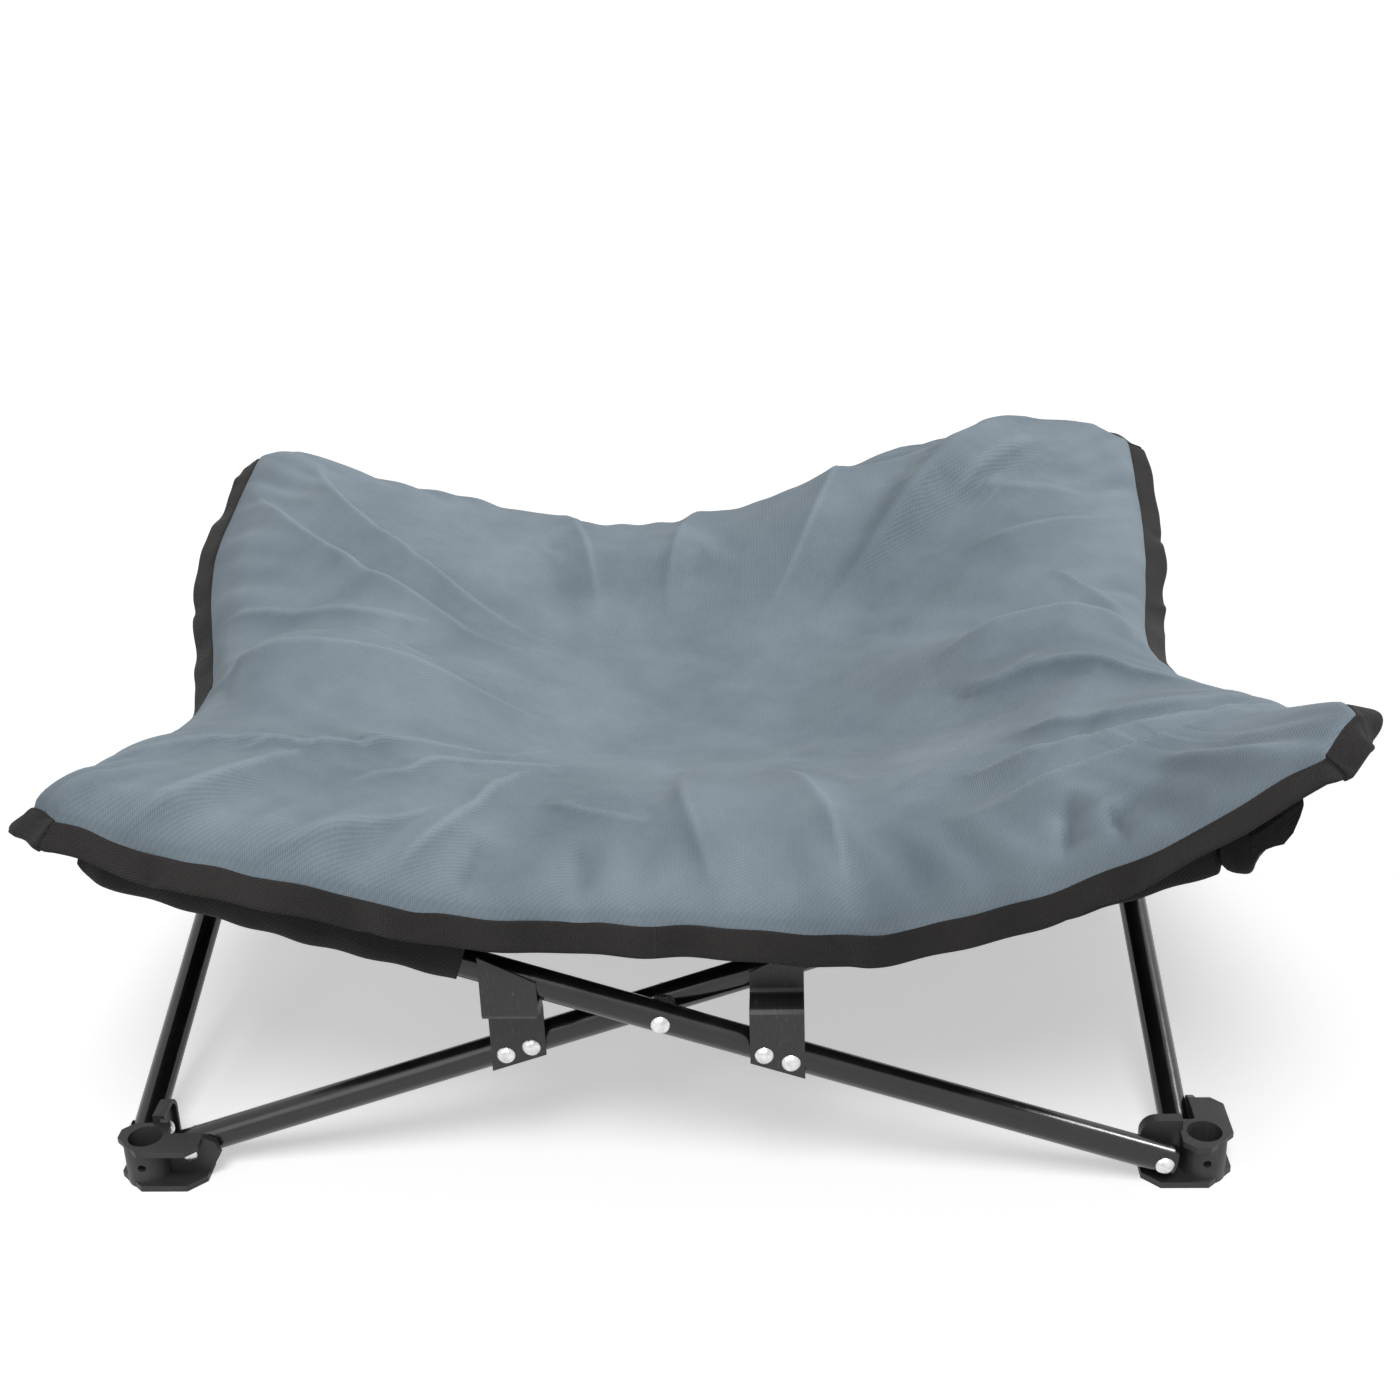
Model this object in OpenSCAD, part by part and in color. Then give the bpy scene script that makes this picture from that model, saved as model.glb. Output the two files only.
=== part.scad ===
// Raised folding dog cot: four scissor sides on four corner feet, with a padded sling.
// The frame is built once for the front side and turned a quarter turn for each other side.
// On a side, x runs to the right as seen from outside, -y points outwards and z points up.

/* [Tubes] */
// Outside diameter of the frame tubes
tube_d = 16; // [14:0.5:18]
// Wall thickness of the frame tubes
tube_wall = 1.2; // [0.8:0.1:2]
// Gap between the inner and the outer tube of a side, filled by the spacer washer
tube_gap = 2; // [1.8:0.1:3]
// Slope of the tubes when the cot stands open, in degrees
open_angle = 18.7; // [16:0.1:22]
// Foot rivet to the lower tube end, along the tube
tube_tail = 6; // [4.5:0.5:8]

/* [Feet] */
// Distance between the two foot rivets of a side
rivet_span = 520; // [480:2:560]
// Contact plane between the tubes of a side, inwards of the socket axis
socket_setback = 2; // [1:0.25:3]
// Diameter of the empty upright socket
socket_d = 18.5; // [16:0.5:21]
// Wall round the socket
socket_wall = 2.75; // [2:0.25:4]
// Height of the foot's top plate
foot_height = 25; // [24:0.5:28]
// Height of the arched web beside the outer tube
arch_height = 30.6; // [29:0.2:34]
// Thickness of the foot's base plate
base_t = 3.6; // [2.5:0.1:5]
// Thickness of the foot's top plate
top_t = 3.2; // [2.5:0.1:4]
// Thickness of the foot's webs
web_t = 4; // [3:0.25:5]
// Socket axis to the outer edge of the foot
foot_edge = 15; // [14.5:0.25:17]
// Socket axis to the far end of each arm
foot_arm = 33; // [31:0.5:36]
// Inward width of the base plate from the socket axis
base_inner = 14; // [12:0.5:16]
// Cut across the foot's outer corner, along each edge
corner_cut = 14; // [10:0.5:15]
// Width of the rim round the arched web
rim_w = 2.4; // [1.5:0.1:3]
// How far the rim stands out of the arched web
rim_h = 2.5; // [1.5:0.1:3]
// Diameter of the small cross holes in the socket
cross_hole_d = 4.4; // [3:0.1:5]

/* [Rivets] */
// Diameter of the rivet shanks
shank_d = 5; // [4:0.1:5.2]
// Diameter of the rivet heads
head_d = 9.8; // [8:0.1:11]
// Height of the domed rivet heads
head_h = 2.6; // [1.5:0.1:3.2]
// Outside diameter of the spacer washers
washer_d = 15; // [11:0.5:18]

/* [Stop brackets] */
// Thickness of the pressed steel
steel_t = 1.5; // [1.2:0.1:1.5]
// Width of the bracket on the inner tube
inner_bracket_w = 29; // [25:0.5:32]
// Pivot to the middle of the bracket on the inner tube, measured level
inner_bracket_x = 76.5; // [72:0.5:84]
// Height of the step of the bracket on the inner tube, above the pivot
inner_step = 4.4; // [2:0.1:6]
// Width of the bracket on the outer tube
outer_bracket_w = 28; // [25:0.5:30]
// Pivot to the middle of the bracket on the outer tube, measured level
outer_bracket_x = 59.5; // [58:0.5:66]
// Height of the step of the bracket on the outer tube, above the pivot
outer_step = 8.2; // [6:0.1:8.4]
// Bend radius at the middle of the steel
bend_r = 4; // [3:0.25:5]
// Distance between the two rivets of a bracket, along the tube
bracket_rivets = 14.4; // [12:0.2:16]
// Plate below the tube's middle line, measured upright
bracket_foot = 7; // [5.5:0.25:8]
// Plate above the middle line of the other tube at the bracket's inner end
bracket_top = 5.4; // [3:0.2:7]
// Extra slope of the plate's top edge over the tube's slope
bracket_rake = 0.18; // [0:0.01:0.2]

/* [Pad] */
// How far the pad's edge stands out past the sleeves, at the middle of a side
mid_overhang = 7; // [3:1:20]
// How far the pad's edge stands out past the sleeves, at a corner
corner_overhang = 37; // [27:1:50]
// Length of the cut across each pad corner, along each edge
pad_bevel = 18; // [10:1:26]
// Height of the pad's underside above the floor, at the middle of a side
pad_side_z = 146; // [142:1:156]
// Extra rise of the pad's corner tips over the tubes' slope
pad_lift = 12; // [4:1:20]
// Length of that rise, measured back from the corner along each edge
lift_run = 100; // [60:5:140]
// Depth of the sag from the tubes to the middle of the cot
pad_sag = 48; // [30:1:60]
// Ledge of the pad inside the sleeves, before it sags
pad_ledge = 18; // [10:1:30]
// Thickness of the pad at its edge
pad_edge_t = 10; // [8:0.5:14]
// Thickness that the filling adds at the crown
pad_crown = 30; // [14:1:34]
// Height of the folds that run from the edge to the middle
pad_fold = 4; // [0:0.5:6]
// Folds in each half side
pad_folds = 1.5; // [0.5:0.5:2.5]
// Greatest rise of the pad's edge over its even seat, and greatest swell of its filling over the even crown
pad_swell = 30; // [0:1:34]

/* [Sleeves and binding] */
// Thickness of the sleeve cloth
sleeve_t = 1.2; // [0.8:0.1:1.4]
// Far end of a stop bracket to the open end of the sleeve, along the tube
sleeve_room = 10; // [2:1:30]
// Thickness of the binding tape
binding_t = 2.6; // [1.5:0.1:3]
// Height of the binding tape
binding_h = 15; // [12:0.5:16]
// How far the binding reaches below the pad's edge
binding_drop = 2; // [1:0.25:3]
// Width of the flange on the tube plugs
plug_flange = 3; // [2:0.25:4]
// Length of the plug inside the tube
plug_depth = 14; // [10:1:20]

/* [Clearances] */
// Radial clearance of a rivet in its hole
rivet_fit = 0.05; // [0.02:0.01:0.1]
// Gap under a rivet head, and between steel and tube
seat_gap = 0.1; // [0.05:0.05:0.2]
// Gap between a tube and the foot's web
web_gap = 0.3; // [0.2:0.05:0.5]
// Gap between the swinging lower tube end and the foot's socket
end_room = 0.5; // [0.3:0.1:2]
// Gap between the swinging lower tube end and the foot's base plate
base_room = 0.4; // [0.3:0.1:2]
// Gap between the upper tube ends of neighbouring sides, over their sleeves
corner_room = 6.6; // [4:0.2:20]
// Gap between a tube and the stop it rests on
stop_gap = 0.3; // [0.2:0.05:0.5]
// Gap between cloth and what it covers
cloth_gap = 0.3; // [0.2:0.05:0.5]
// Radial clearance of a plug in its tube
plug_fit = 0.1; // [0.05:0.05:0.2]
// Gap between neighbouring gores and between neighbouring lengths of binding
gore_gap = 0.4; // [0.2:0.1:0.6]

/* [Hidden] */
SIDES = ["front", "right", "back", "left"];
FEET = ["front_left", "front_right", "back_right", "back_left"];
INNER = 1;
OUTER = -1;
TUBES = [[INNER, "inner"], [OUTER, "outer"]];
PIECES = ["tube", "bracket", "rivets", "plug", "sleeve", "pad_gore", "binding"];
$fn = 48;

tube_r = tube_d / 2;
slope = tan(open_angle);
tube_offset = (tube_d + tube_gap) / 2;
// Reach of the lower tube end round its rivet
swing_r = norm([tube_tail, tube_r]);
rivet_x = rivet_span / 2;
rivet_height = base_t + base_room + swing_r;
lower_arm = rivet_x / cos(open_angle);
pivot_z = rivet_height + rivet_x * slope;
ring_r = socket_d / 2 + socket_wall;
// Foot rivet to the socket axis, along the side
socket_offset = ring_r + end_room + swing_r;
socket_x = rivet_x + socket_offset;
plane_y = socket_x - socket_setback;
// Pivot to the ends of the sleeve and to the upper tube end, along the tube
sleeve_r = tube_r + cloth_gap + sleeve_t;
sleeve_start = (inner_bracket_x + inner_bracket_w / 2) / cos(open_angle) + sleeve_room;
sleeve_end = (plane_y + tube_offset - sleeve_r - corner_room) / cos(open_angle);
upper_arm = sleeve_end - sleeve_t - cloth_gap - plug_flange - seat_gap;
// Half the height of a tube cut upright
tube_rise = tube_r / cos(open_angle);
hole_d = shank_d + 2 * rivet_fit;
through = 200;
// Overlap that joins two solids of one piece, and the reach of a cut past a face
bite = 1;
bend_steps = 6;
arch_steps = 8;

// Cuts at the ends of the foot's arms, on the base plate and on the top plate
base_end_cut = 9;
top_end_cut = 6;
// How far the top plate ends short of the base plate
plate_setback = 2;
// Gap between the socket's ring and the outer tube's swinging end
swing_gap = 0.5;
// Radius of the arched web's end
arch_end_r = 9;
// Reach of the channel web past the base plate, and the slant of its end
channel_reach = 7;
channel_slant = 2;

// Depth of the steel's middle line in front of the contact plane: on the inner tube's face, past the inner
// tube's face, on the outer tube's face and past the outer tube's face
on_inner_y = steel_t / 2 + seat_gap - tube_gap / 2;
past_inner_y = steel_t / 2 + stop_gap - tube_gap / 2;
on_outer_y = tube_offset + tube_r + steel_t / 2 + seat_gap;
past_outer_y = tube_offset + tube_r + steel_t / 2 + stop_gap;

pad_seat = (sleeve_r + cloth_gap) / cos(open_angle);
// Centre of the cot to the pad's edge, at the middle of a side and at a corner
pad_mid = plane_y + tube_offset + sleeve_r + mid_overhang;
pad_corner = plane_y + tube_offset + sleeve_r + corner_overhang;
// Distance from the middle of the cot where the pad leaves the tubes and sags
sag_edge = plane_y - tube_offset - sleeve_r - pad_ledge;
sag_power = 1.5;
// Steps of a gore from the middle of the cot to the edge, and the step its tip is cut at
pad_steps = 12;
tip_step = 0.05;
// Steps of a half side's edge, and the share of it that runs along the side, before the blunt corner
edge_steps = 10;
bevel_start = (pad_corner - pad_bevel) / pad_corner;
// Share of the edge over which its direction is taken
edge_look = 0.01;
// Widths over which the seat turns from level to the tubes' slope, and from one side's slope to the next
blend_z = 10;
blend_diagonal = 24;
// Powers that round the filling down to the edge
crown_power = 9;
crown_shape = 0.6;
// Length of the walk round the pad, in half sides, from the middle of the front to the right
walk_steps = 8;
// Shares of the swell at every half step of the walk: the edge's rise, and the filling's own swell
rise_shares = [0, 0.1, 0.7, 0.7, 0.45, 0.2, -0.25, 0.95, 0.25, 0.2, -0.6, 0.15, 0.05, 0.2, 0, 0.7];
puff_shares = [0, 0.05, -0.45, 0.25, 0.25, 0.2, 0.05, 1, 0.25, 0.05, 0.05, 0.15, 0.25, 0.05, 0, 0.05];
// Share of the way out where the underside leaves its seat for the raised edge
curl_share = 0.88;
// Power by which the top rises to the raised edge
rise_power = 4;
// Shares of the way out where the swell begins and where it is full, and the power that ends it at the edge
puff_from_share = 0.25;
puff_full_share = 0.65;
puff_power = 10;
// Rolls and hollows of the filling: start and end in plan and half width, as shares of the pad's half width,
// and height as a share of the swell
ROLLS = [
    [[-1.04, -0.02], [-0.29, -0.13], 0.11, 0.53],
    [[-1.04, 0.2], [-0.36, 0.13], 0.085, -0.4],
    [[1.04, 0.01], [0.39, -0.065], 0.105, 0.4],
    [[1.04, 0.215], [0.39, 0.13], 0.085, -0.4]
];
// Shares of a roll's length over which it rises and falls, its reach past both ends, and the share of the way
// in from the pad's edge where it is full
roll_rise_share = 0.3;
roll_fall_share = 0.4;
roll_reach_share = 0.05;
roll_edge_share = 0.12;

dark_steel = [0.16, 0.15, 0.15];
gloss_black = [0.05, 0.05, 0.05];
bright_steel = [0.82, 0.82, 0.84];
black_plastic = [0.13, 0.12, 0.12];
slate_blue = [0.49, 0.57, 0.63];
black_cloth = [0.09, 0.08, 0.08];

// The greater of two values, rounded off over a width of about k
function smooth_max(a, b, k) = (a + b + sqrt((a - b) * (a - b) + k * k)) / 2;
// The lesser of two values, rounded off where they differ by less than k
function smooth_min(a, b, k) = let (near = max(k - abs(a - b), 0)) min(a, b) - near * near / (4 * k);
function smooth_step(x) = x <= 0 ? 0 : x >= 1 ? 1 : x * x * (3 - 2 * x);
function arc_points(centre, r, from, to, steps) = [
    for (i = [0 : steps]) let (a = from + (to - from) * i / steps) centre + r * [cos(a), sin(a)]
];

// Places

module on_side(i) {
    rotate([0, 0, 90 * i]) children();
}

// Middle line of a tube: z runs up the tube from the pivot, and y stays the side's own y
module on_tube(way) {
    translate([0, way * tube_offset - plane_y, pivot_z]) rotate([0, way * (90 - open_angle), 0]) children();
}

module cross_hole(d, z) {
    translate([0, 0, z]) rotate([90, 0, 0]) cylinder(d = d, h = through, center = true);
}

// Distances along a tube of its two bracket rivets, below the pivot
function bracket_rivet_places(way) =
    let (middle = (way == INNER ? inner_bracket_x : outer_bracket_x) / cos(open_angle))
    [-middle - bracket_rivets / 2, -middle + bracket_rivets / 2];

// Frame tubes

module frame_tube(way) {
    length = upper_arm + lower_arm + tube_tail;
    color(gloss_black)
    on_tube(way)
    difference() {
        translate([0, 0, -lower_arm - tube_tail]) cylinder(d = tube_d, h = length);
        translate([0, 0, -lower_arm - tube_tail - bite])
            cylinder(d = tube_d - 2 * tube_wall, h = length + 2 * bite);
        cross_hole(hole_d, 0);
        cross_hole(hole_d, -lower_arm);
        for (z = bracket_rivet_places(way)) cross_hole(hole_d, z);
    }
}

module tube_plug(way) {
    color(black_plastic)
    on_tube(way)
    translate([0, 0, upper_arm])
    union() {
        translate([0, 0, seat_gap]) cylinder(d = tube_d, h = plug_flange);
        translate([0, 0, -plug_depth])
            cylinder(d = tube_d - 2 * tube_wall - 2 * plug_fit, h = plug_depth + bite);
    }
}

// Rivets

// A domed head that stands on z = 0
module rivet_head() {
    dome_r = (head_d * head_d / 4 + head_h * head_h) / (2 * head_h);
    intersection() {
        translate([0, 0, head_h - dome_r]) sphere(r = dome_r);
        cylinder(d = head_d + bite, h = head_h + bite);
    }
}

// A rivet along the side's y, whose heads sit at y = -front and y = back
module rivet(front, back) {
    rotate([90, 0, 0])
    union() {
        translate([0, 0, -back - bite / 2]) cylinder(d = shank_d, h = front + back + bite);
        translate([0, 0, front]) rivet_head();
        translate([0, 0, -back]) mirror([0, 0, 1]) rivet_head();
    }
}

module tube_rivets(way) {
    web_reach = tube_r + web_gap + web_t + seat_gap;
    steel_reach = tube_r + 2 * seat_gap + steel_t;
    tube_reach = tube_r + seat_gap;
    color(bright_steel)
    on_tube(way) {
        translate([0, 0, -lower_arm])
        rivet(way == INNER ? web_reach : tube_reach, way == INNER ? tube_reach : web_reach);
        for (z = bracket_rivet_places(way)) translate([0, 0, z]) rivet(steel_reach, tube_reach);
        if (way == OUTER) {
            rivet(tube_reach, 2 * tube_offset + tube_reach);
            pivot_washer();
        }
    }
}

module pivot_washer() {
    washer_t = tube_gap - 2 * seat_gap;
    translate([0, tube_offset, 0])
    rotate([90, 0, 0])
    difference() {
        cylinder(d = washer_d, h = washer_t, center = true);
        cylinder(d = hole_d, h = through, center = true);
    }
}

// Stop brackets

// Bent strip in depth and height: up from the plate at low_y, over the step and up again at high_y
module step_profile(low_y, high_y, step_z, bottom, top) {
    turn = sign(high_y - low_y);
    half = steel_t / 2;
    span = abs(high_y - low_y);
    first = [bend_r, step_z - bend_r];
    second = [span - bend_r, step_z + bend_r];
    path = concat(
        [[-half, bottom]],
        arc_points(first, bend_r + half, 180, 90, bend_steps),
        arc_points(second, bend_r - half, -90, 0, bend_steps),
        [[span - half, top], [span + half, top]],
        arc_points(second, bend_r + half, 0, -90, bend_steps),
        arc_points(first, bend_r - half, 90, 180, bend_steps),
        [[half, bottom]]
    );
    polygon([for (p = path) [low_y + turn * p[0], p[1]]]);
}

// Tab at the bracket's end that runs under the other tube and stops it
module stop_tab(x, from_y, to_y, bottom, top) {
    near = max(from_y, to_y);
    translate([x, -near, bottom]) cube([steel_t, abs(to_y - from_y), top - bottom]);
}

module stop_bracket(way) {
    middle = way == INNER ? -inner_bracket_x : outer_bracket_x;
    width = way == INNER ? inner_bracket_w : outer_bracket_w;
    step_z = pivot_z + (way == INNER ? inner_step : outer_step);
    start_y = way == INNER ? on_inner_y : on_outer_y;
    end_y = way == INNER ? past_outer_y : past_inner_y;
    left = middle - width / 2;
    right = middle + width / 2;
    inner_end = abs(middle) - width / 2;
    bottom_at = function (x) pivot_z + way * x * slope - bracket_foot;
    top_at = function (x)
        pivot_z + abs(x) * slope + bracket_top + (abs(x) - inner_end) * bracket_rake;
    tab_x = right - steel_t;
    // The other tube's underside over the tab, where the tab is nearest the pivot
    tab_top = pivot_z + min(abs(tab_x), abs(right)) * slope - tube_rise - stop_gap;
    tab_end_y = way == INNER ? end_y : -tube_offset - tube_r;
    tab_start_y = way == INNER ? start_y : end_y;
    tab_bottom = way == INNER ? step_z : step_z - bend_r;
    color(dark_steel)
    translate([0, -plane_y, 0])
    difference() {
        union() {
            intersection() {
                translate([left, 0, 0]) rotate([90, 0, 90]) linear_extrude(width)
                    mirror([1, 0]) step_profile(start_y, end_y, step_z, 0, pivot_z + through);
                translate([0, through / 2, 0]) rotate([90, 0, 0]) linear_extrude(through)
                    polygon([
                        [left, bottom_at(left)],
                        [right, bottom_at(right)],
                        [right, top_at(right)],
                        [left, top_at(left)]
                    ]);
            }
            stop_tab(tab_x, tab_start_y, tab_end_y, tab_bottom, tab_top);
        }
        for (z = bracket_rivet_places(way))
            translate([0, 0, pivot_z]) rotate([0, way * (90 - open_angle), 0]) cross_hole(hole_d, z);
    }
}

// Corner feet

// Outline shared by the base and the top plate: reach along each arm and inward width along each arm
module foot_outline(x_reach, y_reach, x_inner, y_inner, end_cut) {
    polygon([
        [corner_cut - foot_edge, -foot_edge],
        [x_reach - end_cut, -foot_edge],
        [x_reach, end_cut - foot_edge],
        [x_reach, x_inner - end_cut / 2],
        [x_reach - end_cut / 2, x_inner],
        [y_inner, x_inner],
        [y_inner, y_reach - end_cut / 2],
        [y_inner - end_cut / 2, y_reach],
        [end_cut - foot_edge, y_reach],
        [-foot_edge, y_reach - end_cut],
        [-foot_edge, corner_cut - foot_edge]
    ]);
}

// Arched web seen from the side, standing on the base plate and drawn in by an inset
module arch_outline(inset) {
    top = arch_height - base_t + bite;
    start = ring_r - bite;
    polygon(concat(
        [[start, -inset], [foot_arm - inset, -inset]],
        arc_points([foot_arm - arch_end_r, top - arch_end_r], arch_end_r - inset, 0, 90, arch_steps),
        [[start, top - inset]]
    ));
}

// One foot about its socket axis: the inner tube's arm runs along +x, the outer tube's arm along +y
module foot_body() {
    inner_web = socket_setback + tube_gap / 2 - web_gap;
    outer_web = socket_setback - tube_gap / 2 + web_gap;
    swing_y = ring_r + swing_gap;
    difference() {
        union() {
            linear_extrude(base_t) foot_outline(foot_arm, foot_arm, base_inner, base_inner, base_end_cut);
            cylinder(r = ring_r, h = foot_height);
            translate([0, 0, foot_height - top_t]) linear_extrude(top_t)
                foot_outline(foot_arm - plate_setback, swing_y, inner_web, ring_r - bite, top_end_cut);
            channel_web(inner_web);
            arched_web(outer_web);
        }
        translate([0, 0, base_t]) cylinder(d = socket_d, h = through);
        cross_holes();
        translate([socket_offset, 0, rivet_height]) cross_hole(hole_d, 0);
        translate([0, socket_offset, rivet_height]) rotate([0, 0, 90]) cross_hole(hole_d, 0);
        // Keeps the outer tube's arm clear of the tube's swinging end
        translate([-through, swing_y, base_t]) cube([through + outer_web, through, through]);
    }
}

module cross_holes() {
    hole_z = (base_t + foot_height - top_t) / 2;
    translate([0, -ring_r, hole_z]) rotate([90, 0, 0])
        cylinder(d = cross_hole_d, h = 2 * ring_r, center = true);
    translate([-ring_r, 0, hole_z]) rotate([0, 90, 0])
        cylinder(d = cross_hole_d, h = 2 * ring_r, center = true);
}

// Web on the outer face of the inner tube, with a slanted end past the base
module channel_web(face) {
    end_x = foot_arm + channel_reach;
    translate([0, face, 0]) rotate([90, 0, 0]) linear_extrude(web_t)
        polygon([
            [0, 0],
            [foot_arm - bite, 0],
            [end_x, rivet_height],
            [end_x - channel_slant, foot_height - top_t],
            [foot_arm - plate_setback, foot_height],
            [0, foot_height]
        ]);
}

// Web on the inner face of the outer tube, arched and rimmed
module arched_web(face) {
    translate([face, 0, base_t - bite]) rotate([90, 0, 90])
    union() {
        linear_extrude(web_t) arch_outline(0);
        translate([0, 0, web_t - bite]) linear_extrude(rim_h + bite) difference() {
            arch_outline(0);
            arch_outline(rim_w);
        }
    }
}

module corner_foot() {
    color(black_plastic) translate([-socket_x, -socket_x, 0]) foot_body();
}

// Pad, sleeves and binding

// Pad edge of a half side in plan: along from the middle of the side, then across the blunt corner
function edge_point(t) =
    let (
        end_x = pad_corner - pad_bevel,
        run = min(t / bevel_start, 1),
        cut = max((t - bevel_start) / (1 - bevel_start), 0)
    )
    [
        end_x * run + cut * pad_bevel / 2,
        pad_mid + (pad_corner - pad_mid) * smooth_step(run) - cut * pad_bevel / 2
    ];

// Share of the half side at step j: even steps along the edge, and the last one across the blunt corner
function edge_share(j) = j < edge_steps ? bevel_start * j / (edge_steps - 1) : 1;

// Height of the tubes' seat under the pad at a plan point, with the corner tips lifted
function seat_height(x, y) =
    let (
        a = smooth_min(abs(x), abs(y), blend_diagonal),
        corner = (a - pad_corner + lift_run) / lift_run
    )
    smooth_max(pivot_z + a * slope + pad_seat, pad_side_z, blend_z)
    + pad_lift * smooth_step(corner);

// Sag below the seat at a distance from the middle of the cot, measured square to the side
function sag_depth(y) = y >= sag_edge ? 0 : pad_sag * pow(1 - pow(y / sag_edge, 2), sag_power);

// Closed curve through values spaced evenly round the walk: a cubic between each pair of neighbours
function round_curve(p, values) =
    let (
        n = len(values),
        place = (p + walk_steps) % walk_steps * n / walk_steps,
        k = floor(place),
        u = place - k,
        before = values[(k + n - 1) % n],
        here = values[k],
        ahead = values[(k + 1) % n],
        after = values[(k + 2) % n]
    )
    here + u * (ahead - before) / 2
    + u * u * (before - 2.5 * here + 2 * ahead - after / 2)
    + u * u * u * (1.5 * here - before / 2 - 1.5 * ahead + after / 2);

// Walk of a place on side i at share t of its half side
function walk_of(i, way, t) = 2 * i + way * t;

// Place in the cot's plan of a point of side i, x along from its middle and y outwards
function cot_place(i, way, x, y) =
    [cos(90 * i) * way * x + sin(90 * i) * y, sin(90 * i) * way * x - cos(90 * i) * y];

// Height of one roll at a place in plan: it falls off on both sides of its line and eases out at its ends
function roll_height(place, start, end, width, height) =
    let (
        run = norm(end - start),
        ahead = (end - start) / run,
        from = place / pad_mid - start,
        u = from * ahead / run,
        off = cross(ahead, from) / width,
        rise = smooth_step((u + roll_reach_share) / roll_rise_share),
        fall = smooth_step((1 + roll_reach_share - u) / roll_fall_share)
    )
    pad_swell * height * rise * fall * 2 / (exp(off) + exp(-off));

// All rolls at a place in plan, added up
function rolls_height(place, k = 0) =
    k == len(ROLLS) ? 0
    : roll_height(place, ROLLS[k][0], ROLLS[k][1], ROLLS[k][2], ROLLS[k][3]) + rolls_height(place, k + 1);

// Filling at share s of the way out and walk p: the edge, the even crown, the folds, the swell and the rolls
function pad_thickness(s, t, p, place) =
    let (swell = smooth_step((s - puff_from_share) / (puff_full_share - puff_from_share)))
    pad_edge_t + pad_crown * pow(1 - pow(s, crown_power), crown_shape)
    + pad_fold * 4 * s * (1 - s) * cos(360 * pad_folds * t)
    + pad_swell * round_curve(p, puff_shares) * swell * (1 - pow(s, puff_power))
    + rolls_height(place) * smooth_step((1 - s) / roll_edge_share);

// Point of a half side's top or underside, at share s of the way out and share t of the way along
function pad_point(i, way, s, t, top) =
    let (
        edge = edge_point(t),
        x = s * edge[0],
        y = s * edge[1],
        p = walk_of(i, way, t),
        rise = pad_swell * round_curve(p, rise_shares),
        seat = seat_height(x, y) - sag_depth(y)
    )
    [x, -y, seat + (top
        ? rise * pow(s, rise_power) + pad_thickness(s, t, p, cot_place(i, way, x, y))
        : rise * smooth_step((s - curl_share) / (1 - curl_share)))];

// Ring of a gore at share s: its top points from the side's middle to the corner, then its underside back
function gore_ring(i, way, s) =
    let (shares = [for (j = [0 : edge_steps]) edge_share(j)])
    concat(
        [for (t = shares) pad_point(i, way, s, t, true)],
        [for (j = [edge_steps : -1 : 0]) pad_point(i, way, s, shares[j], false)]
    );

// Closed loft through rings of equal length; a strip from the ring's first half to its second closes each end
module loft(rings) {
    n = len(rings[0]);
    last = len(rings) - 1;
    polyhedron(
        points = [for (ring = rings) each ring],
        faces = concat(
            [for (i = [0 : last - 1], j = [0 : n - 1])
                each let (k = (j + 1) % n) [
                    [i * n + j, (i + 1) * n + k, i * n + k],
                    [i * n + j, (i + 1) * n + j, (i + 1) * n + k]
                ]],
            [for (j = [0 : n / 2 - 2]) each end_strip(0, n, j)],
            [for (j = [0 : n / 2 - 2], f = end_strip(last * n, n, j)) [f[2], f[1], f[0]]]
        )
    );
}

function end_strip(start, n, j) = [
    [start + j, start + j + 1, start + n - 2 - j],
    [start + j, start + n - 2 - j, start + n - 1 - j]
];

// Moves a half side's piece off the side's middle and off the diagonal by half a gap each
module apart_from_neighbours() {
    shift = gore_gap / 2;
    translate([shift, -shift * (1 + sqrt(2)), 0]) children();
}

// Half a side of the pad, worked out to the right of the side's middle and mirrored for the outer tube
module pad_gore(i, way) {
    color(slate_blue)
    mirror([way == INNER ? 0 : 1, 0, 0])
    apart_from_neighbours()
    loft([for (k = [0 : pad_steps]) gore_ring(i, way, max(k, tip_step) / pad_steps)]);
}

// Ring of the binding at a share of the half side: a flat tape on the pad's outer edge
function binding_ring(t, p) =
    let (
        edge = edge_point(t),
        ahead = edge_point(min(t + edge_look, 1)) - edge_point(max(t - edge_look, 0)),
        out = [-ahead[1], ahead[0]] / norm(ahead),
        near = edge + out * cloth_gap,
        far = edge + out * (cloth_gap + binding_t),
        low = seat_height(edge[0], edge[1]) + pad_swell * round_curve(p, rise_shares) - binding_drop
    )
    [
        [near[0], -near[1], low],
        [far[0], -far[1], low],
        [far[0], -far[1], low + binding_h],
        [near[0], -near[1], low + binding_h]
    ];

module binding(i, way) {
    color(black_cloth)
    mirror([way == INNER ? 0 : 1, 0, 0])
    apart_from_neighbours()
    loft([
        for (j = [0 : edge_steps])
            let (t = edge_share(j)) binding_ring(t, walk_of(i, way, t))
    ]);
}

// Cloth loop round a tube's upper arm, closed past the plug
module sleeve(way) {
    length = sleeve_end - sleeve_start;
    color(black_cloth)
    on_tube(way)
    translate([0, 0, sleeve_start])
    difference() {
        cylinder(r = sleeve_r, h = length);
        translate([0, 0, -bite]) cylinder(r = tube_r + cloth_gap, h = length - sleeve_t + bite);
    }
}

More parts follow.
